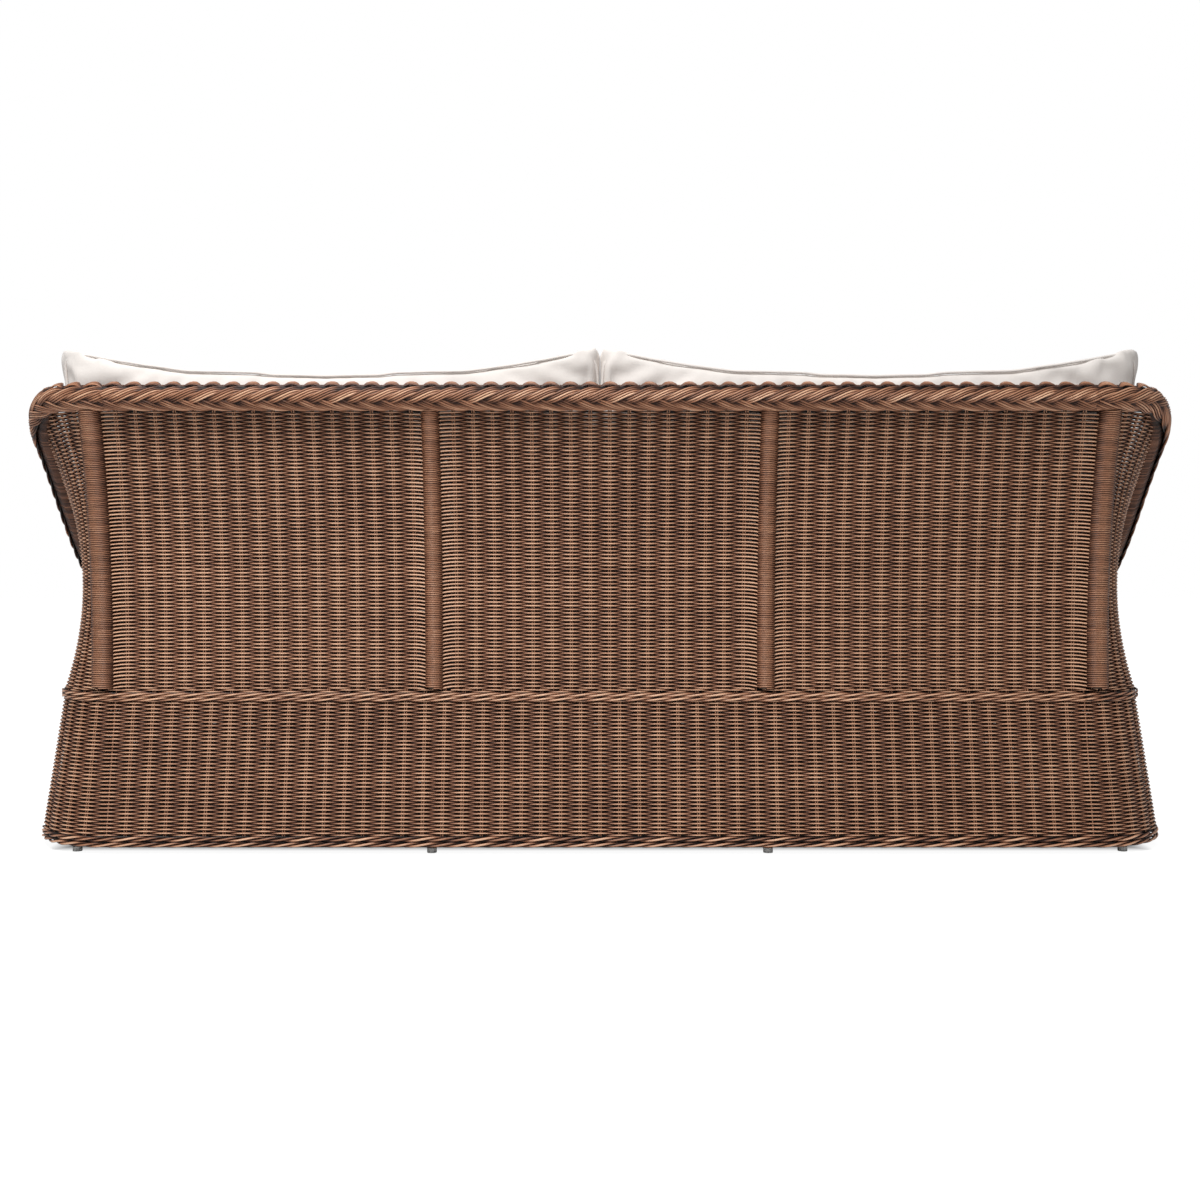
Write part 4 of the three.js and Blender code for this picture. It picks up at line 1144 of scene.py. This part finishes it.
def top_line(spots, at):
    """The height of a cushion's top at the x of each place that is asked for."""
    slices, half_slice, smooth_count = 50, 0.022, 5
    x, z = spots[:, 0], spots[:, 2]
    places = np.linspace(x.min(), x.max(), slices)
    tops = np.array([z[np.abs(x - place) < half_slice].max() for place in places])
    padded = np.pad(tops, smooth_count // 2, "edge")
    tops = np.convolve(padded, np.full(smooth_count, 1 / smooth_count), "valid")
    return np.interp(at[:, 0], places, tops)


def nearest(rings, spots):
    """Each spot's distance to the nearest point of the rings."""
    tree = KDTree(sum(len(ring) for ring in rings))
    for i, spot in enumerate(np.vstack(rings)):
        tree.insert(spot, i)
    tree.balance()
    return np.array([tree.find(spot)[2] for spot in spots])


def strap_recipe():
    """Flat straps that pass over and under each other, cut off along a rectangle with two round corners."""
    tree, size = new_recipe("webbing straps", {
        "Half width": LENGTH, "Front": LENGTH, "Back": LENGTH, "Corner": LENGTH, "Height": LENGTH,
        "Pitch": LENGTH, "Strap width": LENGTH, "Thickness": LENGTH, "Relief": LENGTH, "Finish": FINISH,
    })
    point_spacing = 0.012
    pitch, long, deep = size["Pitch"], size["Half width"] * 2, size["Back"] - size["Front"]
    counts = [(long / pitch).whole(), (deep / pitch).whole()]
    first_x, first_y = [(span - pitch * (count - 1)) * 0.5 for span, count in zip((long, deep), counts)]
    flat = step(tree, "GeometryNodeCurvePrimitiveQuadrilateral", {
        "Width": size["Strap width"], "Height": size["Thickness"],
    }).outputs[0]
    rows = repeated_lines(tree, (0, 0, 0), arrow(tree, long), (long / point_spacing).whole(), counts[1],
                          arrow(tree, 0.0, first_y), arrow(tree, 0.0, pitch))
    columns = repeated_lines(tree, (0, 0, 0), arrow(tree, 0.0, deep), (deep / point_spacing).whole(),
                             counts[0], arrow(tree, first_x), arrow(tree, pitch))
    parts = []
    for lines, over in ((rows, 1.0), (columns, -1.0)):
        x, y, _ = position(tree).parts()
        across, along = (x - first_x) / pitch, (y - first_y) / pitch
        number, run = (along, across) if over > 0 else (across, along)
        wave = ((run + (number + 0.5).whole()) * math.pi).cosine() * over
        laid = moved(tree, lines, arrow(tree, x - size["Half width"], y + size["Front"],
                                        size["Height"] + wave * size["Relief"]))
        x, y, _ = position(tree).parts()
        past_x = (x.worked("ABSOLUTE") - size["Half width"] + size["Corner"]).worked("MAXIMUM", 0.0)
        past_y = (y - size["Back"] + size["Corner"]).worked("MAXIMUM", 0.0)
        outside = (past_x * past_x + past_y * past_y).root().worked("GREATER_THAN", size["Corner"])
        kept = without(tree, laid, outside, "POINT")
        level = step(tree, "GeometryNodeSetCurveNormal", {"Curve": kept}, mode="Z_UP")
        parts.append(step(tree, "GeometryNodeCurveToMesh", {
            "Curve": level.outputs[0], "Profile Curve": flat, "Fill Caps": True,
        }).outputs[0])
    end_recipe(tree, parts, size["Finish"])
    return tree


def piping_recipe():
    """A cord of fabric sewn along a seam."""
    tree, size = new_recipe("piping", {"Width": LENGTH, "Finish": FINISH})
    sides = 8
    end_recipe(tree, [strand_tubes(tree, guide_curve(tree, size), size["Width"], sides)], size["Finish"])
    return tree


class Cushion:
    """One loose cushion on its way from the CAD solid to a sewn and filled cover."""

    def __init__(self, name, axis):
        mesh, self.solid = copied_solid(name)
        self.name, self.axis = name, Vector(axis).normalized()
        self.piece = link(name + "_cover", mesh)
        with_modifier(self.piece, "REMESH", mode="VOXEL", voxel_size=CUSHION_VOXEL, use_smooth_shade=True)
        if name.startswith("back"):
            put_points(self.piece.data, self.with_high_rear(points_of(self.piece.data)))
        self.start = points_of(self.piece.data)
        self.middle = Vector((self.start.min(0) + self.start.max(0)) / 2)
        surface = solid_tree(self.piece.data)
        self.rings = [edge_ring(surface, self.middle, self.axis, side) for side in (1, -1)]

    def with_high_rear(self, spots):
        """Tilts the top of a back cushion, so that its rear edge is the highest."""
        deep, front_drop, rear_rise = 0.090, -0.026, 0.014
        near_top = smooth_share((spots[:, 2] - top_line(spots, spots) + deep) / deep)
        depth = spots @ np.array(self.axis)
        band = depth[near_top > 0.5]
        rearward = np.clip((depth - band.min()) / (band.max() - band.min()), 0, 1)
        spots[:, 2] += near_top * mix(front_drop, rear_rise, rearward)
        return spots

    def raise_top(self):
        """Brings a back cushion's top to its line in the photograph, with an ear at either end."""
        middle_z, ear_rise, middle_x, steepness, deep = 0.890, 0.056, 0.506, 2.8, 0.10
        swell_x, swell_wide, swell_z, swell_tall, swell_out = 0.93, 0.07, 0.86, 0.05, 0.007
        shape = points_of(self.piece.data)

        def raised(spots):
            x, z = np.abs(spots[:, 0]), spots[:, 2]
            wanted = middle_z + ear_rise * (np.abs(x - middle_x) / middle_x) ** steepness
            top = top_line(shape, spots)
            changed = spots.copy()
            changed[:, 2] += (wanted - top) * smooth_share((z - top + deep) / deep)
            swell = smooth_share((x - swell_x) / swell_wide) * smooth_share((z - swell_z) / swell_tall)
            changed[:, 0] += np.sign(spots[:, 0]) * swell * swell_out
            return changed

        put_points(self.piece.data, raised(shape))
        self.rings = [raised(ring) for ring in self.rings]

    def sew(self):
        """Holds the seams and lets the filling press the panels out."""
        group = self.piece.vertex_groups.new(name="seam")
        held = np.nonzero(nearest(self.rings, self.start) < SEAM_HOLD)[0]
        group.add([int(i) for i in held], 1.0, "REPLACE")
        cloth = self.piece.modifiers.new("filling", "CLOTH")
        for option, choice in (
            ("quality", 5),
            ("mass", 0.3),
            ("tension_stiffness", 12),
            ("compression_stiffness", 12),
            ("bending_stiffness", 0.6),
            ("use_pressure", True),
            ("uniform_pressure_force", 4),
            ("shrink_min", -0.045),
            ("vertex_group_mass", "seam"),
            ("pin_stiffness", 1.0),
        ):
            setattr(cloth.settings, option, choice)
        cloth.settings.effector_weights.gravity = 0
        cloth.point_cache.frame_start = 1
        cloth.point_cache.frame_end = FILL_MOMENTS

    def take_result(self):
        """Keeps how the filling moved each point, less on the walls than on the panels."""
        view = bpy.context.evaluated_depsgraph_get()
        filled = self.piece.evaluated_get(view).to_mesh()
        travel = points_of(filled) - self.start
        self.piece.evaluated_get(view).to_mesh_clear()
        self.piece.modifiers.remove(self.piece.modifiers["filling"])
        steepness, wall_share, smallest = 1.4, 0.2, 1e-9
        far = np.linalg.norm(travel, axis=1)[:, None]
        on_panel = np.abs(normals_of(self.piece.data) @ np.array(self.axis))[:, None]
        cap = mix(WALL_SWELL, PANEL_SWELL, smooth_share(on_panel * steepness - wall_share))
        kept = cap * np.tanh(far / cap) / np.maximum(far, smallest)
        put_points(self.piece.data, self.start + travel * kept)

    def finish(self, canvas):
        """Subdivides the cover, keeps it in its room, draws it in along the seams and sews the piping on."""
        seam_width, seam_depth = 0.013, 0.0035
        with_modifier(self.piece, "SUBSURF", levels=1, render_levels=1)
        mesh = self.piece.data
        spots = points_of(mesh)
        close = np.clip(1 - nearest(self.rings, spots) / seam_width, 0, 1)[:, None]
        spots -= normals_of(mesh) * close**2 * seam_depth
        put_points(mesh, self.kept_in_room(spots))
        for face in mesh.polygons:
            face.use_smooth = True
        mesh.materials.clear()
        mesh.materials.append(canvas)
        settled(self.piece, self.name, "canvas", self.name)
        for ring, place in zip(self.rings, ("first", "second")):
            self.sew_piping(ring, f"{self.name}_{place}_piping", canvas)

    def sew_piping(self, ring, name, canvas):
        """Lays a cord of fabric along one seam."""
        proud, middle_gap = 0.0006, 0.0004
        outward = ring - ring.mean(0)
        outward /= np.linalg.norm(outward, axis=1)[:, None]
        path = self.on_own_side(ring + outward * proud, PIPING_WIDTH / 2 + middle_gap)
        guide = bpy.data.meshes.new("seam")
        guide.from_pydata(path.tolist(), [(i, (i + 1) % len(ring)) for i in range(len(ring))], [])
        cord = made(name, link("seam", guide), PIPING, {"Width": PIPING_WIDTH, "Finish": canvas})
        settled(cord, self.name, "canvas")

    def kept_in_room(self, spots):
        """Moves back any point that stands out of the CAD solid too far. Above the roll it has more room."""
        free_z, low_room, high_room, middle_gap = 0.885, 0.002, 0.016, 0.0004
        kept = spots.copy()
        for i, spot in enumerate(spots):
            near, normal, _, _ = self.solid.find_nearest(spot)
            room = low_room if spot[2] < free_z else high_room
            if near is not None and (Vector(spot) - near).dot(normal) > room:
                kept[i] = near + normal * room
        return self.on_own_side(kept, middle_gap)

    def on_own_side(self, spots, gap):
        """Keeps a cushion of a pair on its own side of the sofa's middle."""
        side = np.sign(self.middle[0])
        spots[:, 0] = side * np.maximum(side * spots[:, 0], gap)
        return spots


def filled_cushions(canvas):
    """Makes the four cushions: the seams are held, the filling presses the panels out between them."""
    seat_axis = (0, 0, 1)
    back_axis = (0, math.cos(BACK_CUSHION_LEAN), -math.sin(BACK_CUSHION_LEAN))
    cushions = [Cushion(name, seat_axis if name.startswith("seat") else back_axis) for name in CUSHION_NAMES]
    for cushion in cushions:
        cushion.sew()
    for moment in range(1, FILL_MOMENTS + 1):
        bpy.context.scene.frame_set(moment)
    for cushion in cushions:
        cushion.take_result()
    bpy.context.scene.frame_set(1)
    for cushion in cushions:
        if cushion.name.startswith("back"):
            cushion.raise_top()
        cushion.finish(canvas)


# Camera, light and floor


def photo_camera():
    """The photograph's view from straight behind."""
    scene = bpy.context.scene
    lens = bpy.data.cameras.new("camera")
    lens.lens = 46.32
    lens.sensor_width = 36
    lens.shift_y = -0.05
    lens.clip_end = 100
    camera = bpy.data.objects.new("camera", lens)
    camera.location = (0, 3.25, 0.58)
    camera.rotation_euler = (math.pi / 2, 0, math.pi)
    scene.collection.objects.link(camera)
    scene.camera = camera


def pale_floor():
    """A pale floor that shines a little to the camera, except under the sofa."""
    reach, middle_y, half_width, half_depth, fade = 12, -0.04, 0.99, 0.36, 0.05
    grey, shine, shine_share = 0.80, 1.35, 0.7
    mesh = bpy.data.meshes.new("floor")
    corners = [(-reach, -reach, 0), (reach, -reach, 0), (reach, reach, 0), (-reach, reach, 0)]
    mesh.from_pydata(corners, [], [(0, 1, 2, 3)])
    floor = link("floor", mesh)
    finish = bpy.data.materials.new("pale floor")
    finish.use_nodes = True
    tree = finish.node_tree
    tree.nodes.clear()
    seen = Term(tree, step(tree, "ShaderNodeLightPath").outputs["Is Camera Ray"])
    dull = step(tree, "ShaderNodeBsdfDiffuse", {"Color": (grey, grey, grey, 1)})
    glow = step(tree, "ShaderNodeEmission", {"Color": (1, 1, 1, 1), "Strength": shine})
    x, y, _ = Arrow(tree, step(tree, "ShaderNodeTexCoord").outputs["Object"]).parts()
    past_end = x.worked("ABSOLUTE") - half_width
    past = past_end.worked("MAXIMUM", (y - middle_y).worked("ABSOLUTE") - half_depth)
    share = seen * (past / fade).within(0.0, 1.0) * shine_share
    both = step(tree, "ShaderNodeMixShader", {0: share, 1: dull.outputs[0], 2: glow.outputs[0]})
    step(tree, "ShaderNodeOutputMaterial", {"Surface": both.outputs[0]})
    mesh.materials.append(finish)


def white_surroundings():
    """White to the camera, and a softer light to everything else."""
    light_strength, seen_strength = 0.38, 1.0
    world = bpy.data.worlds.new("studio")
    bpy.context.scene.world = world
    world.use_nodes = True
    tree = world.node_tree
    tree.nodes.clear()
    seen = Term(tree, step(tree, "ShaderNodeLightPath").outputs["Is Camera Ray"])
    strength = mix(light_strength, seen_strength, seen)
    sky = step(tree, "ShaderNodeBackground", {"Color": (1, 1, 1, 1), "Strength": strength})
    step(tree, "ShaderNodeOutputWorld", {"Surface": sky.outputs[0]})


def soft_lamp(name, place, size, power):
    """A square lamp that looks at the sofa's middle."""
    light = bpy.data.lights.new(name, "AREA")
    light.size = size
    light.energy = power
    lamp = bpy.data.objects.new(name, light)
    lamp.location = place
    lamp.rotation_euler = (Vector((0, 0, 0.45)) - Vector(place)).to_track_quat("-Z", "Y").to_euler()
    bpy.context.scene.collection.objects.link(lamp)


# The sofa

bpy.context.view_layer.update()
photo_camera()
pale_floor()
white_surroundings()
soft_lamp("lamp_behind", (0.8, 2.0, 3.3), 1.6, 100)
soft_lamp("lamp_in_front", (-1.2, -3.6, 2.8), 2.4, 66)
bpy.context.scene.view_settings.view_transform = "Standard"

WEAVE = weave_recipe()
CLOSE_WRAP = wrap_recipe()
PLAIT = plait_recipe()
TWISTED_BAND = band_recipe()
PIPING = piping_recipe()
STRAPS = strap_recipe()

STRAND_EFFECT = strand_effect()
CLOTH_EFFECT = cloth_effect()
GRAIN_EFFECT = speckle_effect()

# Strand colours: the near-black end is painted shade and the light end painted highlight, reached through the
# painted light share; Depth sets how strongly.
BROWNS_AND_PAINTED_SHADE = ((0.0, (10, 5, 3)), (1.0, (250, 204, 168)), (0.3, (72, 41, 28)), (0.62, (174, 121, 91)))
strand = new_finish("brown rattan strand", STRAND_EFFECT, {"Spread": 0.15, "Patches": 0.14, "Depth": 1.55},
                    BROWNS_AND_PAINTED_SHADE, (0.5, 0.36), (0.25, 0.0004), "Tone", Specular_IOR_Level=0.4)
plait = new_finish("brown rattan plait", STRAND_EFFECT, {"Spread": 0.4, "Patches": 0.1, "Depth": 1.4},
                   BROWNS_AND_PAINTED_SHADE, (0.46, 0.32), (0.25, 0.0004), "Tone", Specular_IOR_Level=0.45)
canvas = new_finish("off-white canvas", CLOTH_EFFECT, {"Pitch": 0.0012, "Slub": 0.35},
                    ((0.2, (232, 225, 219)), (0.8, (242, 236, 231))), (0.9, 0.8), (0.35, 0.0005), "Mottle",
                    Sheen_Weight=0.15, Specular_IOR_Level=0.25)
webbing = new_finish("brown webbing", CLOTH_EFFECT, {"Pitch": 0.0021, "Slub": 0.25},
                     ((0.2, (70, 55, 44)), (0.8, (98, 78, 62))), (0.85, 0.7), (0.6, 0.0008), "Mottle")
coat = new_finish("brown powder coat", GRAIN_EFFECT, {"Grain": 900.0, "Patch": 8.0},
                  ((0.25, (66, 50, 38)), (0.75, (90, 70, 54))), (0.42, 0.6), (0.3, 0.0002), "Wear",
                  Specular_IOR_Level=0.5)
moulded = new_finish("grey moulded glide", GRAIN_EFFECT, {"Grain": 1200.0, "Patch": 60.0},
                     ((0.25, (196, 196, 194)), (0.75, (222, 222, 219))), (0.45, 0.65), (0.3, 0.0002), "Wear")

FINISH_OF_SLOT = {"frame": coat, "glide": moulded}
for part in frame["record"]["subparts"]:
    if part["material_slot"] in FINISH_OF_SLOT:
        set_finish(part["node"], FINISH_OF_SLOT[part["material_slot"]])

OUTER_STRIP = INNER_WRAP_RADIUS + 0.017
MIDDLE_STRIP = INNER_WRAP_RADIUS + 0.024
CORNER_STRIP = CORNER_WRAP_RADIUS + 0.023
back_bay("back_panel_left", (INNER_POST_X, OUTER_STRIP), (CORNER_POST_X, CORNER_STRIP), strand)
back_bay("back_panel_centre", (-INNER_POST_X, MIDDLE_STRIP), (INNER_POST_X, MIDDLE_STRIP), strand)
back_bay("back_panel_right", (-CORNER_POST_X, CORNER_STRIP), (-INNER_POST_X, OUTER_STRIP), strand)
arm_panel("arm_panel_left", False, strand)
arm_panel("arm_panel_right", True, strand)
LEG_REACH = 0.006
skirt("skirt_back", back_skirt(), strand)
skirt("skirt_left", side_skirt(), strand, **{"End reach": LEG_REACH})
skirt("skirt_right", side_skirt(), strand, **{"End reach": LEG_REACH})
skirt("skirt_front", front_skirt(), strand, **{"Start reach": LEG_REACH, "End reach": LEG_REACH})

roll_parts = roll_line().split(-ROLL_JOINT_X, ROLL_JOINT_X)
for name, line in zip(("braided_roll_right_arm", "braided_roll_back", "braided_roll_left_arm"), roll_parts):
    braided_roll(name, line, plait)

seat_parts = ring_line(SEAT_BAND_Z, SEAT_BAND_PROUD).split(-CORNER_X, CORNER_X)
for name, line in zip(("seat_band_right", "seat_band_back", "seat_band_left"), seat_parts):
    band(name, line, plait)
band("seat_band_front", front_line(SEAT_BAND_Z, SEAT_BAND_PROUD), plait)
corner_end = CORNER_X + (HEM_HALF_WIDTH - CORNER_X) * math.pi / 2
hem_parts = ring_line(HEM_BAND_Z, 0.0).split(-corner_end, corner_end)
for name, line in zip(("hem_band_right", "hem_band_back", "hem_band_left"), hem_parts):
    band(name, line, plait, **HEM_SHAPE)
band("hem_band_front", front_line(HEM_BAND_Z, 0.0), plait, **HEM_SHAPE)

for side, sign in (("left", 1), ("right", -1)):
    wrapped_post("inner_post_wrap_" + side, sign * INNER_POST_X, INNER_WRAP_RADIUS, strand)
    wrapped_post("corner_post_wrap_" + side, sign * CORNER_POST_X, CORNER_WRAP_RADIUS, strand)

deck_guide = link("deck", bpy.data.meshes.new("deck"))
straps = made("seat_deck_straps", deck_guide, STRAPS, {
    "Half width": 1.010, "Front": -0.4270, "Back": 0.3158, "Corner": 0.104, "Height": 0.3033, "Pitch": 0.058,
    "Strap width": 0.050, "Thickness": 0.0014, "Relief": 0.0013, "Finish": webbing,
})
settled(straps, "frame", "webbing", "seat_deck")
filled_cushions(canvas)
